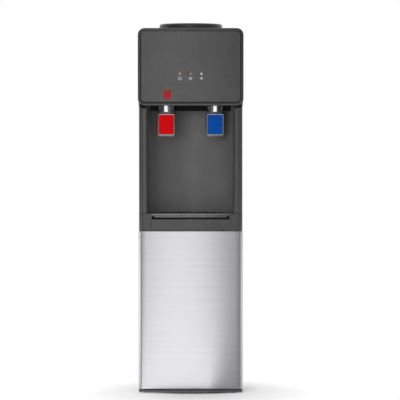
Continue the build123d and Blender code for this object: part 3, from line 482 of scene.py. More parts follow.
GREY_CASE = (0.03, 0.03, 0.03)
POLISHED = 0.000008
SATIN = 0.00002
FINISHES = {
    finish.name: finish
    for finish in (
        Moulded("base_plastic", (0.045, 0.045, 0.047), 0.5),
        Soft("foot_rubber", (0.011, 0.011, 0.0115), 0.75, cells=900.0, depth=0.00005),
        Coated("panel_paint", GREY_CASE, 0.36, specular=0.8),
        Bare("rear_steel", (0.5, 0.51, 0.52), 0.45, flakes=110.0),
        Bare("screw_steel", (0.55, 0.55, 0.54), 0.3),
        Moulded("casing_plastic", GREY_CASE, 0.29, depth=POLISHED, specular=0.36),
        Moulded("face_plastic", GREY_CASE, 0.26, depth=POLISHED, specular=0.54),
        Moulded("skirt_plastic", (0.032, 0.032, 0.032), 0.26, depth=POLISHED, specular=0.35),
        # recess of this casing plastic painted paler as painted light
        PaintedLitRecess("alcove_plastic", GREY_CASE, 0.26, depth=0.00003),
        # near black, darker than the plastic's own colour: partly painted shade, so the carrier and strips
        # under the head read as their shadow
        Moulded("black_plastic", (0.003, 0.003, 0.0032), 0.6, specular=0.08),
        Moulded("liner_plastic", (0.55, 0.56, 0.56), 0.45),
        Board("board_green", (0.012, 0.13, 0.05), 0.4),
        Lens("amber_lens", (0.55, 0.26, 0.05), 0.25, glow=0.05),
        Lens("red_lens", (0.5, 0.04, 0.035), 0.25, glow=0.05),
        Lens("pale_lens", (0.55, 0.56, 0.55), 0.25),
        Moulded("marker_red", (0.235, 0.005, 0.006), 0.45, depth=SATIN, specular=0.2),
        Moulded("switch_red", (0.45, 0.012, 0.01), 0.3, depth=SATIN, coat=0.3),
        Moulded("switch_blue", (0.01, 0.06, 0.33), 0.3, depth=SATIN, coat=0.3),
        Moulded("tap_black", (0.008, 0.008, 0.009), 0.2, depth=0.00001, coat=0.4),
        # white nozzles; their bright white also stands in for the highlight on the taps' necks, a painted
        # highlight
        Moulded("nozzle_white", (0.78, 0.78, 0.76), 0.35, depth=SATIN),
        Bare("pin_steel", (0.6, 0.6, 0.59), 0.28),
        Bare("trim_silver", (0.22, 0.22, 0.225), 0.3),
        Moulded("insert_red", (0.4, 0.001, 0.002), 0.5, depth=SATIN, specular=0.04),
        Moulded("insert_blue", (0.0012, 0.043, 0.235), 0.5, depth=SATIN, specular=0.04),
        Moulded("stem_white", (0.72, 0.72, 0.7), 0.4, depth=SATIN),
        Soft("silicone", (0.7, 0.7, 0.68), 0.4, cells=200.0, depth=SATIN, glow=0.3),
        Brushed("door_steel", (0.355, 0.352, 0.368), 0.32, direction=0.91, tangent="brush"),
        Bare("ferrite", (0.06, 0.06, 0.065), 0.6),
        Brushed("tank_steel", (0.6, 0.6, 0.59), 0.3, streaks=60.0, along=60.0),
        Bare("evaporator_metal", (0.62, 0.62, 0.6), 0.4),
        Soft("foam", (0.78, 0.78, 0.75), 0.9, cells=260.0, depth=0.0006),
        Coated("compressor_paint", (0.012, 0.012, 0.013), 0.3, peel=380.0, depth=0.00006),
    )
}


@dataclass
class Skin:
    """Grids of points that together close one piece.

    Attributes:
        points: rows of corner points, one block a grid.
        faces: corner numbers of the four-sided faces, one block a grid.
    """

    points: list[np.ndarray] = field(default_factory=list)
    faces: list[np.ndarray] = field(default_factory=list)

    def patch(self, grid: np.ndarray, round_rows: bool = False, round_columns: bool = True) -> "Skin":
        """Add one grid of points, joined cell by cell.

        Args:
            grid: points by row and column.
            round_rows: whether the last row joins the first.
            round_columns: whether the last column joins the first.

        Returns:
            This skin.
        """
        rows, columns = grid.shape[:2]
        start = sum(len(block) for block in self.points)
        index = start + np.arange(rows * columns).reshape(rows, columns)
        if round_rows:
            index = np.vstack([index, index[:1]])
        if round_columns:
            index = np.hstack([index, index[:, :1]])
        cells = np.stack([index[:-1, :-1], index[1:, :-1], index[1:, 1:], index[:-1, 1:]], axis=-1)
        self.points.append(grid.reshape(-1, 3))
        self.faces.append(cells.reshape(-1, 4))
        return self

    def piece(self, name: str, look: str, body: Body, *nodes: str) -> bpy.types.Object:
        """Close the grids into one smooth mesh and put it on its body.

        Args:
            name: name of the piece.
            look: name of its finish, which is the record's slot too.
            body: body that carries it.
            nodes: solids of the frame that it stands for.

        Returns:
            The new object.
        """
        finish = FINISHES[look]
        mesh = bpy.data.meshes.new(name)
        mesh.from_pydata(np.vstack(self.points).tolist(), [], np.vstack(self.faces).tolist())
        shell = bmesh.new()
        shell.from_mesh(mesh)
        bmesh.ops.remove_doubles(shell, verts=shell.verts, dist=SEAM)
        bmesh.ops.dissolve_degenerate(shell, edges=shell.edges, dist=SEAM)
        bmesh.ops.recalc_face_normals(shell, faces=shell.faces)
        shell.to_mesh(mesh)
        shell.free()
        mesh.shade_smooth()
        mesh.set_sharp_from_angle(angle=SHARP)
        made = bpy.data.objects.new(name, mesh)
        bpy.context.scene.collection.objects.link(made)
        made.data.materials.append(finish.build())
        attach(made, body.value)
        if nodes:
            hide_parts(*nodes)
        LOG.info("%s: %d faces on %s", name, len(mesh.polygons), body.value)
        return made


class Facing(Enum):
    """Planes that outlines are drawn in; the last axis is the one they are stacked along."""

    FRONT = (0, 2, 1)
    PLAN = (0, 1, 2)
    SIDE = (1, 2, 0)


def loft(rows: np.ndarray, facing: Facing, steps: int = 8) -> np.ndarray:
    """Stack rounded rectangles: each corner is a quarter circle about a point one radius in from both sides.

    Args:
        rows: half width, half height, corner radius, the middle's two coordinates and the level, row by row.
        facing: plane of the outlines.
        steps: points on each corner.

    Returns:
        A grid of points, a row for each outline, closed along its columns.
    """
    half_a, half_b, corner, mid_a, mid_b, level = np.asarray(rows, float).T[:, :, None, None]
    corner = np.minimum(corner, np.minimum(half_a, half_b))
    quarter = np.arange(4)[None, :, None]
    angle = quarter * math.pi / 2 + np.linspace(0.0, math.pi / 2, steps)[None, None, :]
    sign_a = np.where((quarter == 0) | (quarter == 3), 1.0, -1.0)
    sign_b = np.where(quarter < 2, 1.0, -1.0)
    grid = np.empty((len(rows), 4, steps, 3))
    grid[..., facing.value[0]] = mid_a + sign_a * (half_a - corner) + corner * np.cos(angle)
    grid[..., facing.value[1]] = mid_b + sign_b * (half_b - corner) + corner * np.sin(angle)
    grid[..., facing.value[2]] = level + 0.0 * angle
    return grid.reshape(len(rows), 4 * steps, 3)


def stacked(profile: np.ndarray, half: Pair, corner: float, mid: Pair) -> np.ndarray:
    """Rows for `loft`: one outline set in by the profile's first column, at the level of its second.

    Args:
        profile: inset and level, row by row.
        half: half width and half height of the outline.
        corner: its corner radius.
        mid: its middle.

    Returns:
        The rows.
    """
    inset, level = np.asarray(profile, float).T
    wide, tall = np.maximum(half[0] - inset, 0.0), np.maximum(half[1] - inset, 0.0)
    radius = np.maximum(corner - inset, 0.0)
    like = np.ones_like(inset)
    return np.stack([wide, tall, radius, mid[0] * like, mid[1] * like, level], axis=1)


def quarter_round(inset: float, level: float, radius: float, rise: float, steps: int = 6) -> np.ndarray:
    """Quarter of an ellipse that leaves the side at `level` and ends at `level + rise`, `radius` further in.

    Args:
        inset: inset where it starts.
        level: level where it starts.
        radius: how far it runs inwards, negative for outwards.
        rise: how far it runs along the level.
        steps: points on it.

    Returns:
        Inset and level, row by row.
    """
    turn = np.linspace(0.0, math.pi / 2, steps)
    return np.stack([inset + radius * (1 - np.cos(turn)), level + rise * np.sin(turn)], axis=1)


def slab_profile(back: float, front: float, edge: float, reach: float, dome: float = 0.0) -> np.ndarray:
    """Section of a plate from the middle of its back, round its edges, to the middle of its front.

    The front face rises to its middle as a parabola by the dome's height.

    Args:
        back: level of the back.
        front: level of the front's highest point.
        edge: radius of the front edge.
        reach: half of the plate's smaller side.
        dome: height of the front's crown.

    Returns:
        Inset and level, row by row.
    """
    way = math.copysign(1.0, front - back)
    brim = front - way * dome
    lip = edge * 0.3
    behind = quarter_round(0.0, back + way * lip, lip, -way * lip)[::-1]
    before = quarter_round(0.0, brim - way * edge, edge, way * edge)
    share = np.linspace(0.0, 1.0, 7)[1:]
    face = np.stack([edge + (reach - edge) * share, brim + way * dome * (1 - (1 - share) ** 2)], axis=1)
    return np.vstack([[reach, back], behind, before, face])


def slab(half: Pair, corner: float, mid: Pair, section: np.ndarray) -> np.ndarray:
    """Plate in the front plane: its section carried round a rounded rectangle.

    Args:
        half: half width and half height.
        corner: corner radius.
        mid: x and z of its middle.
        section: inset and level, row by row.

    Returns:
        A grid of points, closed along its columns.
    """
    return loft(stacked(section, half, corner, mid), Facing.FRONT)


def turned(profile: np.ndarray, mid: Pair, facing: Facing, steps: int = 14) -> np.ndarray:
    """Body of revolution: circles of the profile's radius stacked at its level.

    Args:
        profile: radius and level, row by row.
        mid: the axis, as the outline plane's two coordinates.
        facing: plane of the circles.
        steps: points on a quarter turn.

    Returns:
        A grid of points, closed along its columns.
    """
    radius, level = np.asarray(profile, float).T
    like = np.ones_like(radius)
    rows = np.stack([radius, radius, radius, mid[0] * like, mid[1] * like, level], axis=1)
    return loft(rows, facing, steps)


def capped(grid: np.ndarray) -> np.ndarray:
    """Close a tube: one more row at each end, shrunk to the middle of the row beside it.

    Args:
        grid: points by row and column.

    Returns:
        The longer grid.
    """
    first, last = (np.broadcast_to(row.mean(axis=0), (1,) + row.shape) for row in (grid[0], grid[-1]))
    return np.concatenate([first, grid, last])


def ribbon(path: np.ndarray, half: float, back: float, front: float) -> np.ndarray:
    """Flat raised line in the front plane: a box section carried along a path of x and z.

    The section's sides lie half a width to each side of the path, along its normal.

    Args:
        path: x and z, row by row.
        half: half of the line's width.
        back: y of its back.
        front: y of its front.

    Returns:
        A grid of points, closed along its columns, whose end rows shrink to the path.
    """
    along = np.gradient(path, axis=0)
    along /= np.linalg.norm(along, axis=1)[:, None]
    side = np.stack([-along[:, 1], along[:, 0]], axis=1) * half
    grid = np.empty((len(path), 4, 3))
    for column, (way, level) in enumerate(((-1, back), (1, back), (1, front), (-1, front))):
        grid[:, column, 0] = path[:, 0] + way * side[:, 0]
        grid[:, column, 2] = path[:, 1] + way * side[:, 1]
        grid[:, column, 1] = level
    return capped(grid)


def edge(node: str, axis: int, far: bool = False) -> float:
    """Place of a node's lowest or highest face along an axis.

    Args:
        node: name of the node.
        axis: 0 for x, 1 for y, 2 for z.
        far: True for the highest face.

    Returns:
        Its coordinate in metres.
    """
    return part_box(node)[int(far)][axis]


def turned_to(place: Point, aim: Point) -> Point:
    """Turn that points an object's own -z from a place to an aim, with its y upwards.

    Args:
        place: where the object is.
        aim: where it looks.

    Returns:
        The Euler angles.
    """
    dx, dy, dz = (b - a for a, b in zip(place, aim))
    return (math.pi / 2 + math.atan2(dz, math.hypot(dx, dy)), 0.0, math.atan2(-dx, dy))


@dataclass(frozen=True)
class SoftBox:
    """An area lamp that the camera doesn't see.

    Attributes:
        name: name of the lamp.
        place: its middle.
        aim: point it faces.
        size: width and height of its face.
        power: power in watts.
        mirrored: whether reflections show it.
        lights: whether it lights matt surfaces.
        oval: whether its face is an ellipse.
    """

    name: str
    place: Point
    aim: Point
    size: Pair
    power: float
    mirrored: bool = True
    lights: bool = True
    oval: bool = False

    def build(self) -> None:
        """Add the lamp to the scene."""
        face = bpy.data.lights.new(self.name, "AREA")
        face.shape = "ELLIPSE" if self.oval else "RECTANGLE"
        face.size, face.size_y = self.size
        face.energy = self.power
        made = bpy.data.objects.new(self.name, face)
        bpy.context.scene.collection.objects.link(made)
        made.location = self.place
        made.rotation_euler = turned_to(self.place, self.aim)
        made.visible_camera = False
        made.visible_glossy = self.mirrored
        made.visible_diffuse = self.lights


@dataclass
class Studio:
    """White cove, soft lamps and the camera of the photograph.

    Attributes:
        eye: camera's place.
        aim: point in the middle of the picture.
        lens: focal length in millimetres.
        lamps: soft boxes before and over the object, and low white cards that only reflections show.
        walls: axis of a ray, where along it a pale wall starts and is full, and the wall's strength.
        fill: world's strength for diffuse light.
        dark: world's strength where reflections find no lamp or wall.
        reach: half of the floor's side.
        middle: place on the floor that shadows are kept round.
        shadow: distance from it where the floor starts to turn white, and where it is white.
    """

    eye: Point = (0.0247, -6.0, 0.75)
    aim: Point = (0.0247, -0.14, 0.514)
    lens: float = 199.2
    lamps: tuple[SoftBox, ...] = (
        SoftBox("strip_box", (-0.045, -1.535, 1.02), (-0.045, 0.0, 1.02), (0.24, 1.95), 3.0),
        SoftBox("side_box", (-0.6, -2.0, 0.85), (0.0, -0.1, 0.55), (0.9, 0.9), 27.0, mirrored=False),
        SoftBox("top_box", (0.0, -1.0, 2.5), (0.0, 0.0, 0.5), (1.2, 0.8), 14.0, mirrored=False),
        SoftBox("left_card", (-0.9, -0.35, 0.19), (0.0, -0.35, 0.19), (1.3, 0.37), 4.4, lights=False),
        SoftBox("right_card", (0.9, -0.35, 0.19), (0.0, -0.35, 0.19), (1.3, 0.37), 2.6, lights=False),
        SoftBox(
            "floor_card", (-0.045, -0.74, 0.004), (-0.045, -0.739, 1.0), (0.3, 1.5), 2.5,
            lights=False, oval=True,
        ),
    )
    walls: tuple[tuple[str, float, float, float], ...] = (
        ("Y", -0.1, 0.3, 1.0),
        ("X", 0.35, 0.8, 0.35),
        ("Z", 0.5, 0.95, 0.7),
    )
    fill: float = 0.4
    dark: float = 0.03
    reach: float = 12.0
    middle: Point = (0.02, -0.14, 0.0)
    shadow: Pair = (0.05, 0.3)

    def build(self) -> None:
        """Set up camera, lamps, world and floor."""
        bpy.context.scene.view_settings.view_transform = "Standard"
        self.camera()
        for lamp in self.lamps:
            lamp.build()
        self.world()
        self.floor()

    def camera(self) -> None:
        """Place the camera and aim it, without roll or shift."""
        lens = bpy.data.cameras.new("camera")
        lens.lens = self.lens
        lens.sensor_width = 36.0
        made = bpy.data.objects.new("camera", lens)
        bpy.context.scene.collection.objects.link(made)
        made.location = self.eye
        made.rotation_euler = turned_to(self.eye, self.aim)
        bpy.context.scene.camera = made

    def world(self) -> None:
        """White for the camera, even for diffuse light, and dark with pale walls in reflections."""
        world = bpy.data.worlds.new("studio")
        bpy.context.scene.world = world
        tree = Tree(world, "Background")
        way = tree.node("SeparateXYZ", {0: tree.place.outputs["Generated"]})
        walls = self.dark
        for axis, start, end, bright in self.walls:
            ends = {0: way.outputs[axis], 1: start, 2: end, 3: self.dark, 4: bright}
            wall = tree.node("MapRange", ends, interpolation_type="SMOOTHSTEP")
            walls = tree.math("MAXIMUM", walls, wall.outputs[0])
        camera, mirrored = tree.rays()
        gloss = tree.node("Mix", {0: mirrored, 2: self.fill, 3: walls})
        view = tree.node("Mix", {0: camera, 2: gloss.outputs[0], 3: 1.0})
        tree.set(Color=WHITE, Strength=view.outputs[0])

    def floor(self) -> None:
        """Wide pale floor, white away from the object, that keeps its shadow."""
        mesh = bpy.data.meshes.new("floor")
        corners = [(-1, -1), (1, -1), (1, 1), (-1, 1)]
        mesh.from_pydata([(x * self.reach, y * self.reach, 0.0) for x, y in corners], [], [range(4)])
        made = bpy.data.objects.new("floor", mesh)
        bpy.context.scene.collection.objects.link(made)
        paper = bpy.data.materials.new("floor_paper")
        tree = Tree(paper)
        tree.set(Base_Color=(0.86, 0.86, 0.86, 1.0), Roughness=0.6, Specular_IOR_Level=0.2)
        ends = {0: tree.place.outputs["Object"], 1: self.middle}
        far = tree.node("VectorMath", ends, operation="DISTANCE")
        clear = tree.span(far.outputs["Value"], 0.0, 1.0, *self.shadow)
        share = tree.math("MULTIPLY", clear, tree.math("MAXIMUM", *tree.rays()))
        white = tree.node("Emission", {"Color": WHITE, "Strength": 1.0})
        both = tree.node("MixShader", {0: share, 1: tree.shader.outputs[0], 2: white.outputs[0]})
        tree.feed(tree.nodes["Material Output"].inputs[0], both.outputs[0])
        mesh.materials.append(paper)


@dataclass
class Door:
    """Storage door: a steel sheet rolled round a plastic frame.

    Attributes:
        half: half of the width.
        front: y of the sheet's face.
        back: y where the rolled sides end.
        low: z of its bottom.
        high: z of its top.
        roll: radius of the rolled edges.
        sheet: thickness of the steel.
        burr: bevel on the sheet's cut ends.
    """

    half: float = 138.5 * MM
    front: float = -135.0 * MM
    back: float = -123.0 * MM
    low: float = edge("door_skin", 2)
    high: float = edge("door_skin", 2, True)
    roll: float = 9.0 * MM
    sheet: float = 0.9 * MM
    burr: float = 0.25 * MM

    def channel(self, inset: float) -> np.ndarray:
        """Plan of the sheet at a depth under its face: side, rolled corner, face, rolled corner, side.

        Args:
            inset: depth under the face.

        Returns:
            x and y, row by row.
        """
        turn = np.linspace(0.0, math.pi / 2, 13)
        radius = self.roll - inset
        x = self.half - self.roll + radius * np.cos(turn)
        y = self.front + self.roll - radius * np.sin(turn)
        right = np.vstack([[x[0], self.back], np.stack([x, y], axis=1)])
        across = np.linspace(x[-1], -x[-1], 24)[1:-1]
        face = np.stack([across, np.full_like(across, y[-1])], axis=1)
        left = right[::-1] * (-1.0, 1.0)
        return np.vstack([right, face, left])

    def build(self) -> None:
        """Carry the plan of the sheet up the door and map its brushing."""
        bevels = (self.burr, 0.0, 0.0, self.burr)
        levels = (self.low, self.low + self.burr, self.high - self.burr, self.high)
        loops = []
        for level, bevel in zip(levels, bevels):
            outer, inner = self.channel(bevel), self.channel(self.sheet - bevel)
            loop = np.vstack([outer, inner[::-1]])
            loops.append(np.column_stack([loop, np.full(len(loop), level)]))
        grid = np.stack(loops)
        skin = Skin().patch(grid)
        half = grid.shape[1] // 2
        for row in (0, -1):
            skin.patch(np.stack([grid[row, :half], grid[row, half:][::-1]]), round_columns=False)
        sheet = skin.piece("door_sheet", "door_steel", Body.DOOR, "door_skin")
        self.brush(sheet.data)

    def brush(self, mesh: bpy.types.Mesh) -> None:
        """Map the brushing: the first direction crosses the streaks upwards, the second runs along them.

        Args:
            mesh: mesh of the sheet.
        """
        places = np.empty(len(mesh.vertices) * 3)
        mesh.vertices.foreach_get("co", places)
        corners = np.empty(len(mesh.loops), int)
        mesh.loops.foreach_get("vertex_index", corners)
        x, y, z = places.reshape(-1, 3)[corners].T
        wrap = np.stack([z, x + np.sign(x) * (y - self.front)], axis=1)
        mesh.uv_layers.new(name="brush").data.foreach_set("uv", wrap.ravel())


@dataclass
class Head:
    """Head of the dispenser: rounded rim, dark strip painted in the groove as shadow, signal symbols and
    marker.

    Attributes:
        half: half width and half height.
        middle: x and z of its middle.
        front: y of the rim's crown.
        back: y where the rim meets the top cover.
        corner: corner radius.
        steps: points on each corner.
        crown: radius of the rim's crown.
        lip: radius of its inner edge.
        rim: width of the rim.
        gap: gap between rim and panel.
        ledge: width of the ledge that the panel sits on.
        face: y of the panel's face.
        seat: y of the panel's back.
        wall: wall thickness.
        drop: how far the front of the rim hangs below its back.
        tile: half width and half height of the marker.
        tile_place: x and z of the marker's middle, from the head's.
        sign: half of a symbol's size.
        sign_pitch: distance between the symbols.
        sign_low: how far they lie below the head's middle.
    """

    half: Pair = (140.0 * MM, 101.5 * MM)
    middle: Pair = (0.0, edge("head_bezel", 2) + half[1])
    front: float = -139.0 * MM
    back: float = -115.0 * MM
    corner: float = 18.0 * MM
    steps: int = 12
    crown: float = 5.0 * MM
    lip: float = 0.8 * MM
    rim: float = 8.4 * MM
    gap: float = 2.4 * MM
    ledge: float = 8.0 * MM
    face: float = -138.0 * MM
    seat: float = -134.0 * MM
    wall: float = 3.0 * MM
    drop: float = 2.4 * MM
    tile: Pair = (9.65 * MM, 11.8 * MM)
    tile_place: Pair = (-62.0 * MM, -74.5 * MM)
    sign: float = 4.0 * MM
    sign_pitch: float = 28.5 * MM
    sign_low: float = 31.7 * MM

    def build(self) -> None:
        """Build the rim, the painted shadow in the groove, the symbols and the marker."""
        self.bezel()
        self.gasket()
        self.marker()
        self.symbols()

    def carried(self, section: np.ndarray, hung: np.ndarray) -> np.ndarray:
        """Carry a section round the head; hung rows are half a drop taller, about a middle as much lower.

        Args:
            section: inset and level, row by row.
            hung: whether each row hangs.

        Returns:
            A grid of points, closed along its columns.
        """
        rows = stacked(section, self.half, self.corner, self.middle)
        rows[:, 1] += self.drop / 2 * hung
        rows[:, 4] -= self.drop / 2 * hung
        return loft(rows, Facing.FRONT, self.steps)

    def bezel(self) -> None:
        """Rim: side, rounded crown, groove, ledge and hollow back, with the crown and the groove hung."""
        mouth, bevel = self.rim - self.gap, 0.4 * MM
        inner, inside = mouth + self.ledge, self.seat + self.wall
        spring = self.front + self.crown
        section = np.vstack([
            [[self.wall, self.back], [bevel, self.back], [0.0, self.back - bevel], [0.0, spring + self.lip]],
            quarter_round(0.0, spring, self.crown, -self.crown, 10),
            quarter_round(mouth, self.front + self.lip, -self.lip, -self.lip, 5)[::-1],
            [[mouth, self.seat], [inner, self.seat], [inner, inside], [self.wall, inside]],
        ])
        ring = self.carried(section, section[:, 1] < spring + SEAM)
        Skin().patch(ring, round_rows=True).piece("head_rim", "casing_plastic", Body.CABINET, "head_bezel")

    def gasket(self) -> None:
        """Dark rubber strip in the groove's sides and bottom, painted shadow for the shade there: a strip
        between the outlines of rim and panel.
        """
        spare, sunk = 0.1 * MM, 0.8 * MM
        outer, inner = self.rim - self.gap + spare, self.rim - spare
        front, back = self.face + sunk, self.seat - spare
        section = np.array([[outer, back], [outer, front], [inner, front], [inner, back]])
        ring = self.carried(section, np.array([True, True, False, False]))
        strip = np.concatenate([ring[:, 2 * self.steps - 1:], ring[:, :1]], axis=1)
        # dark strip in the groove: painted shadow
        Skin().patch(capped(strip.swapaxes(0, 1))).piece("groove_painted_shadow", "foot_rubber", Body.CABINET)

    def marker(self) -> None:
        """Small bare red tile over the hot tap, with softened edges."""
        section = slab_profile(self.face + 1.0 * MM, self.face - 0.5 * MM, 0.4 * MM, self.tile[0], 0.15 * MM)
        middle = (self.middle[0] + self.tile_place[0], self.middle[1] + self.tile_place[1])
        tile = slab(self.tile, 4.0 * MM, middle, section)
        Skin().patch(tile).piece("hot_tile", "marker_red", Body.CABINET, "hot_marker")

    def symbols(self) -> None:
        """Raised print under the signal lenses: a switch ring, rising heat and an ice star."""
        low, half, front = self.middle[1] - self.sign_low, 0.45 * MM, self.face - 0.12 * MM
        turn = np.radians(np.linspace(130, 410, 33))
        wave = np.linspace(-1.0, 1.0, 15)
        ring = np.stack([np.cos(turn), np.sin(turn)], axis=1)
        bar = np.stack([np.zeros(3), np.linspace(0.1, 1.15, 3)], axis=1)
        sway = 0.22 * np.sin(math.pi * wave)
        heat = [np.stack([step + sway, wave], axis=1) for step in (-0.75, 0.0, 0.75)]
        star = [np.outer(wave, (math.cos(angle), math.sin(angle))) for angle in np.radians((30, 90, 150))]
        signs = ((-1, "switch_ring", [ring, bar]), (0, "heat_waves", heat), (1, "ice_star", star))
        for place, name, lines in signs:
            skin = Skin()
            for line in lines:
                skin.patch(ribbon(line * self.sign + (place * self.sign_pitch, low), half, self.face, front))
            skin.piece(name, "pale_lens", Body.CABINET)


@dataclass
class Tap:
    """One push tap: housing, paddle, trim, coloured insert and return spring.

    Attributes:
        name: hot or cold.
        x: its middle.
        insert: finish of the insert.
        lever: body of the paddle.
        low: z of the housing's bottom.
        high: z of its top.
        front: y of its face.
        back: y of the wall behind it.
        waist: half width of its bottom.
        flare: how much further each side of its top reaches.
        corner: radius of its upright corners.
        brow: radius of its top edge.
        lip: radius of its bottom edge.
        hub: radius and half length of the paddle's hub.
        plate_half: half width and half height of the paddle.
        plate_front: y of the paddle's face.
        plate_back: y of the paddle's back.
        plate_mid: z of the paddle's middle.
        trim_half: half width and half height of the trim.
        trim_wide: width of the trim's section.
        trim_rise: height of the trim's section.
        trim_mid: z of the trim's middle.
        badge_half: half width and half height of the insert.
    """

    name: str
    x: float
    insert: str
    lever: Body
    low: float = edge("hot_tap_body", 2)
    high: float = edge("hot_tap_body", 2, True)
    front: float = -128.0 * MM
    back: float = -102.0 * MM
    waist: float = 22.3 * MM
    flare: float = 1.8 * MM
    corner: float = 11.0 * MM
    brow: float = 1.5 * MM
    lip: float = 1.0 * MM
    hub: Pair = (4.0 * MM, 12.6 * MM)
    plate_half: Pair = (25.6 * MM, 31.0 * MM)
    plate_front: float = -120.5 * MM
    plate_back: float = -115.5 * MM
    plate_mid: float = edge("hot_paddle", 2) + plate_half[1]
    trim_half: Pair = (23.0 * MM, 29.0 * MM)
    trim_wide: float = 3.6 * MM
    trim_rise: float = 1.5 * MM
    trim_mid: float = edge("hot_trim", 2) + trim_half[1]
    badge_half: Pair = (19.5 * MM, 25.5 * MM)

    def build(self) -> None:
        """Build the tap's pieces."""
        self.housing()
        self.paddle()
        self.trim()
        self.badge()
        self.spring()

    def housing(self) -> None:
        """Glossy housing: plan outlines with a round front, stacked from its crown to its open underside.

        The sides draw in downwards as a parabola, and the hollow for the paddle's hub is open below.
        """
        deep, mid = (self.back - self.front) / 2, (self.x, (self.back + self.front) / 2)
        share = np.linspace(1.0, 0.0, 9)
        like = np.ones_like(share)
        wide = self.waist + self.flare * share**2
        level = self.low + self.lip + (self.high - self.low - self.lip - self.brow) * share
        wall = np.stack([wide, deep * like, self.corner * like, mid[0] * like, mid[1] * like, level], axis=1)
        brow = stacked(quarter_round(0.0, level[0], self.brow, self.brow), (wide[0], deep), self.corner, mid)
        lip = stacked(quarter_round(0.0, level[-1], self.lip, -self.lip), (wide[-1], deep), self.corner, mid)
        room = (self.x, -113.3 * MM)
        roof = self.low + 12.5 * MM
        inside = (13.0 * MM, 8.3 * MM, 0.6 * MM, *room)
        hollow = [[*inside, self.low], [*inside, roof], [0.0, 0.0, 0.0, *room, roof]]
        crown = [[0.0, 0.0, 0.0, *mid, self.high]]
        skin = Skin().patch(loft(np.vstack([crown, brow[::-1], wall[1:-1], lip, hollow]), Facing.PLAN, 10))
        radius, end = 5.0 * MM, -80.0 * MM
        shank = np.array([[0.0, self.back], [radius, self.back], [radius, end], [0.0, end]])
        skin.patch(turned(shank, (self.x, self.low + 13.3 * MM), Facing.FRONT))
        skin.piece(f"{self.name}_housing", "tap_black", Body.CABINET, f"{self.name}_tap_body")

    def paddle(self) -> None:
        """Push paddle: a plate with softened edges, a neck, a round hub and the lift arm behind it."""
        bevel = 0.4 * MM
        section = slab_profile(self.plate_back, self.plate_front, 1.4 * MM, self.plate_half[0])
        skin = Skin().patch(slab(self.plate_half, 6.0 * MM, (self.x, self.plate_mid), section))
        radius, long = self.hub
        neck = (long, 4.5 * MM)
        section = slab_profile(self.plate_back, self.plate_front + 1.0 * MM, 0.5 * MM, neck[1])
        skin.patch(slab(neck, 0.6 * MM, (self.x, self.low + 1.5 * MM), section))
        end = np.array([[0.0, -long], [radius - bevel, -long], [radius, bevel - long]])
        hub = np.vstack([end, end[::-1] * (1.0, -1.0)]) + (0.0, self.x)
        skin.patch(turned(hub, (-117.0 * MM, self.low + 5.5 * MM), Facing.SIDE))
        arm, side = (4.7 * MM, 1.5 * MM), 2.5 * MM
        section = np.array([[arm[1], -side], [0.0, -side], [0.0, side], [arm[1], side]]) + (0.0, self.x)
        skin.patch(loft(stacked(section, arm, bevel, (-112.3 * MM, self.low + 5.0 * MM)), Facing.SIDE, 3))
        skin.piece(f"{self.name}_lever_plate", "tap_black", self.lever, f"{self.name}_paddle")

    def trim(self) -> None:
        """Silver frame: a half-round section, a little flattened, carried round the paddle's face."""
        turn = np.linspace(0.0, math.pi, 13)
        level = self.plate_front - self.trim_rise * np.sin(turn) ** 0.7
        section = np.stack([self.trim_wide / 2 * (1 - np.cos(turn)), level], axis=1)
        ring = slab(self.trim_half, 4.5 * MM, (self.x, self.trim_mid), section)
        skin = Skin().patch(ring, round_rows=True)
        skin.piece(f"{self.name}_frame", "trim_silver", self.lever, f"{self.name}_trim")

    def badge(self) -> None:
        """Coloured plate, slightly crowned, inside the frame."""
        front = self.plate_front - 1.2 * MM
        section = slab_profile(self.plate_front, front, 0.5 * MM, self.badge_half[0], 0.3 * MM)
        skin = Skin().patch(slab(self.badge_half, 0.8 * MM, (self.x, self.trim_mid), section))
        skin.piece(f"{self.name}_badge", self.insert, self.lever, f"{self.name}_insert")

    def spring(self) -> None:
        """Return spring over the valve stem, at its rest length, on a mesh of its own.

        A circle is carried round the axis and climbs evenly, but slower on the closed turns at its ends.
        """
        wire, radius, y = 0.3 * MM, 2.9 * MM, -109.5 * MM
        bottom, top = self.low + 8.0 * MM, self.low + 12.2 * MM
        turns = np.array([0.0, 0.8, 3.7, 4.5]) * TURN
        angle = np.linspace(turns[0], turns[-1], 145)[:, None]
        climb = np.interp(angle, turns, [0.0, 0.13, 0.87, 1.0]) * (top - bottom - 2 * wire)
        section = np.linspace(0.0, TURN, 8, endpoint=False)
        reach = radius + wire * np.cos(section)
        height = bottom + wire + climb + wire * np.sin(section)
        grid = np.stack([self.x + reach * np.cos(angle), y + reach * np.sin(angle), height], axis=-1)
        skin = Skin().patch(capped(grid))
        made = skin.piece(f"{self.name}_coil", "pin_steel", Body.CABINET, f"{self.name}_spring")
        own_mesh(made)


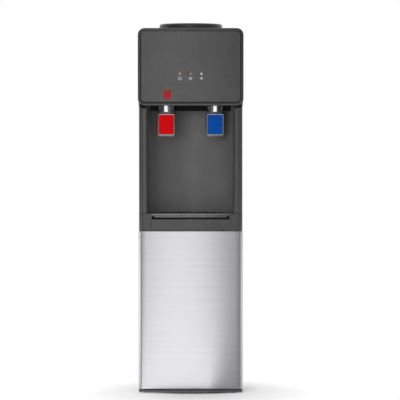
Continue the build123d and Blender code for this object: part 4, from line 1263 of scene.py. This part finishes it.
@dataclass
class BrowPaintedShadow:
    """Black strips in the gap between the head and the tops of the two pillars: painted shadow for the shade
    under the head.

    Attributes:
        inner: x of the end beside the recess.
        bend: x where the pillar's rounded corner starts.
        corner: radius of that corner.
        front: y of the pillar's face.
        sunk: how far the strip lies behind that face.
        top: z of the strip's top.
        gap: height of the gap.
        brow: radius of the pillar's top edge.
        wrap: how much of the corner the seal follows.
        clear: gap between the strip and the head.
        thin: depth of the strip where it is thinnest.
    """

    inner: float = 117.0 * MM
    bend: float = 125.5 * MM
    corner: float = 12.0 * MM
    front: float = -134.0 * MM
    sunk: float = 1.7 * MM
    top: float = edge("head_bezel", 2)
    gap: float = 5.0 * MM
    brow: float = 8.0 * MM
    wrap: float = 0.85
    clear: float = 0.3 * MM
    thin: float = 0.2 * MM

    def build(self) -> None:
        """Carry the strip's section along x over both pillars.

        Its face keeps the pillar's plan, a line then a quarter circle. Its underside is the brow's circle.
        """
        x = np.linspace(self.inner, self.bend + self.wrap * self.corner, 25)[:, None]
        bent = np.maximum(x - self.bend, 0.0)
        back, axis = self.front + self.brow, self.top - self.gap - self.brow
        face = self.front + self.sunk + self.corner - np.sqrt(self.corner**2 - bent**2)
        face = np.minimum(face, back - self.thin)
        under = face + (back - face) * np.linspace(0.0, 1.0, 9)
        low = axis + np.sqrt(self.brow**2 - (under - back) ** 2)
        top = np.full_like(face, self.top - self.clear)
        y = np.hstack([np.full_like(face, back), face, under])
        z = np.hstack([top, top, low])
        one = capped(np.stack([x + 0.0 * y, y, z], axis=-1))
        skin = Skin()
        for side in (-1, 1):
            skin.patch(one * (side, 1.0, 1.0))
        # black strips over the pillars: painted shadow under the head
        skin.piece("brow_painted_shadow", "black_plastic", Body.CABINET)


@dataclass
class Outlets:
    """White nozzles of both taps and the polished lip of the drip grille.

    Attributes:
        spread: distance of the taps from the middle.
        y: axis of the nozzles.
        low: z of the nozzles' mouths.
        high: z of their tops.
        lip: y and z of the lip.
        reach: half of the lip's length.
    """

    spread: float = TAP_SPREAD
    y: float = -128.0 * MM
    low: float = edge("tap_nozzles", 2)
    high: float = edge("tap_nozzles", 2, True)
    lip: Pair = (-133.0 * MM, edge("drip_grille", 2, True))
    reach: float = 104.4 * MM

    def build(self) -> None:
        """Build both nozzles and the lip, all turned: circles stacked along their axes."""
        rise = self.high - self.low
        section = np.array([
            [0.0, rise], [4.8, rise], [5.3, rise - 0.5 * MM], [5.3, 1.2 * MM], [5.0, 0.4 * MM],
            [4.3, 0.0], [3.4, 0.1 * MM], [3.0, 0.6 * MM], [3.0, 13.0 * MM], [0.0, 13.0 * MM],
        ]) * (MM, 1.0)
        skin = Skin()
        for side in (-1, 1):
            skin.patch(turned(section + (0.0, self.low), (side * self.spread, self.y), Facing.PLAN))
        # nozzles' white is partly a painted highlight for the taps' necks
        skin.piece("nozzles", "nozzle_white", Body.CABINET, "tap_nozzles")
        half, end = 1.2 * MM, 0.4 * MM
        rod = np.array([[0.0, 0.0], [half - end, 0.0], [half, end]])
        rod = np.vstack([rod - (0.0, self.reach), rod[::-1] * (1.0, -1.0) + (0.0, self.reach)])
        Skin().patch(turned(rod, self.lip, Facing.SIDE, 4)).piece("grille_lip", "trim_silver", Body.GRILLE)


@dataclass
class Rear:
    """Back of the cabinet: screws with cross slots and the welded seam of the compressor's shell.

    Attributes:
        face: y of the rear panel.
        across: distance of the screws from the middle.
        low: z of the lowest screws.
        high: z of the highest screws.
        rows: screws on each side.
        head: radius of a screw's head.
        rise: height of a screw's head.
        fall: how much of that height the dome loses at its edge.
        slot: half width of the cross slot.
        slot_deep: its depth, as a share of the head's height.
        slot_end: where it ends, as a share of the head's radius.
        shell: radius of the compressor's shell.
        axis: x and y of its axis.
        seam: z of its seam.
    """

    face: float = 130.0 * MM
    across: float = 130.5 * MM
    low: float = edge("rear_panel", 2) + 7.0 * MM
    high: float = edge("rear_panel", 2, True) - 7.0 * MM
    rows: int = 4
    head: float = 4.0 * MM
    rise: float = 2.2 * MM
    fall: float = 0.55
    slot: float = 0.55 * MM
    slot_deep: float = 0.5
    slot_end: float = 0.65
    shell: float = 58.0 * MM
    axis: Pair = (10.0 * MM, 60.0 * MM)
    seam: float = edge("compressor", 2, True) - 52.0 * MM

    def build(self) -> None:
        """Build the screws and the seam."""
        self.screws()
        self.weld()

    def weld(self) -> None:
        """Welded seam: an overlapped band and a half-round bead under it, turned about the shell's axis."""
        turn = np.linspace(0.0, math.pi, 9)
        bead = np.stack([0.8 + 1.6 * np.sin(turn), -9.0 - 1.8 * np.cos(turn)], axis=1)[::-1]
        band = np.array([[-0.5, 4.0], [1.2, 4.0], [1.6, 3.4], [1.6, -6.6]])
        section = np.vstack([band, bead, [[-0.5, -11.0]]]) * MM + (self.shell, self.seam)
        skin = Skin().patch(turned(section, self.axis, Facing.PLAN, 20), round_rows=True)
        skin.piece("shell_seam", "compressor_paint", Body.CABINET)

    def screws(self) -> None:
        """Pan heads: a flattened dome over each screw, sunk by a cross-shaped slot.

        The dome falls as the fourth power of the radius, and the slot is a fourth-power bell in x or in z.
        """
        share = np.array([0.0, 0.12, 0.24, 0.36, 0.48, 0.58, 0.7, 0.82, 0.92, 0.98, 1.0])
        angle = np.linspace(0.0, TURN, 48, endpoint=False)
        x = self.head * np.outer(share, np.cos(angle))
        z = self.head * np.outer(share, np.sin(angle))
        dome = 1.0 - self.fall * share[:, None] ** 4
        cross = np.maximum(np.exp(-((x / self.slot) ** 4)), np.exp(-((z / self.slot) ** 4)))
        sunk = self.slot_deep * cross * (share[:, None] < self.slot_end)
        top = np.stack([x, self.face + self.rise * (dome - sunk), z], axis=-1)
        rim = np.stack([x[-1:], 0.0 * x[-1:] + self.face, z[-1:]], axis=-1)
        under = 0.0 * rim + (0.0, self.face, 0.0)
        one = np.concatenate([top, rim, under])
        skin = Skin()
        for side in (-1, 1):
            for level in np.linspace(self.low, self.high, self.rows):
                skin.patch(one + (side * self.across, 0.0, level))
        skin.piece("cross_screws", "screw_steel", Body.CABINET, "panel_screws")


OWN_FINISH = {
    "alcove_panel": "alcove_plastic",
    "tray_fascia": "skirt_plastic",
    "drip_tray": "skirt_plastic",
    "drip_grille": "tap_black",
}


def dress_frame() -> None:
    """Give every solid of the frame its own finish, or the finish of its slot."""
    for name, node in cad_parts.items():
        for place in node.material_slots:
            slot = place.material.name.split(".")[0]
            place.material = FINISHES[OWN_FINISH.get(name, slot)].build()
        LOG.info("%s dressed", name)


def main() -> None:
    """Build the studio, dress the frame and add the finer pieces."""
    logging.basicConfig(level=logging.INFO, format="%(name)s: %(message)s")
    Studio().build()
    dress_frame()
    Door().build()
    Head().build()
    Tap("hot", -TAP_SPREAD, "insert_red", Body.HOT_LEVER).build()
    Tap("cold", TAP_SPREAD, "insert_blue", Body.COLD_LEVER).build()
    BrowPaintedShadow().build()
    Outlets().build()
    Rear().build()


if __name__ == "__main__":
    main()
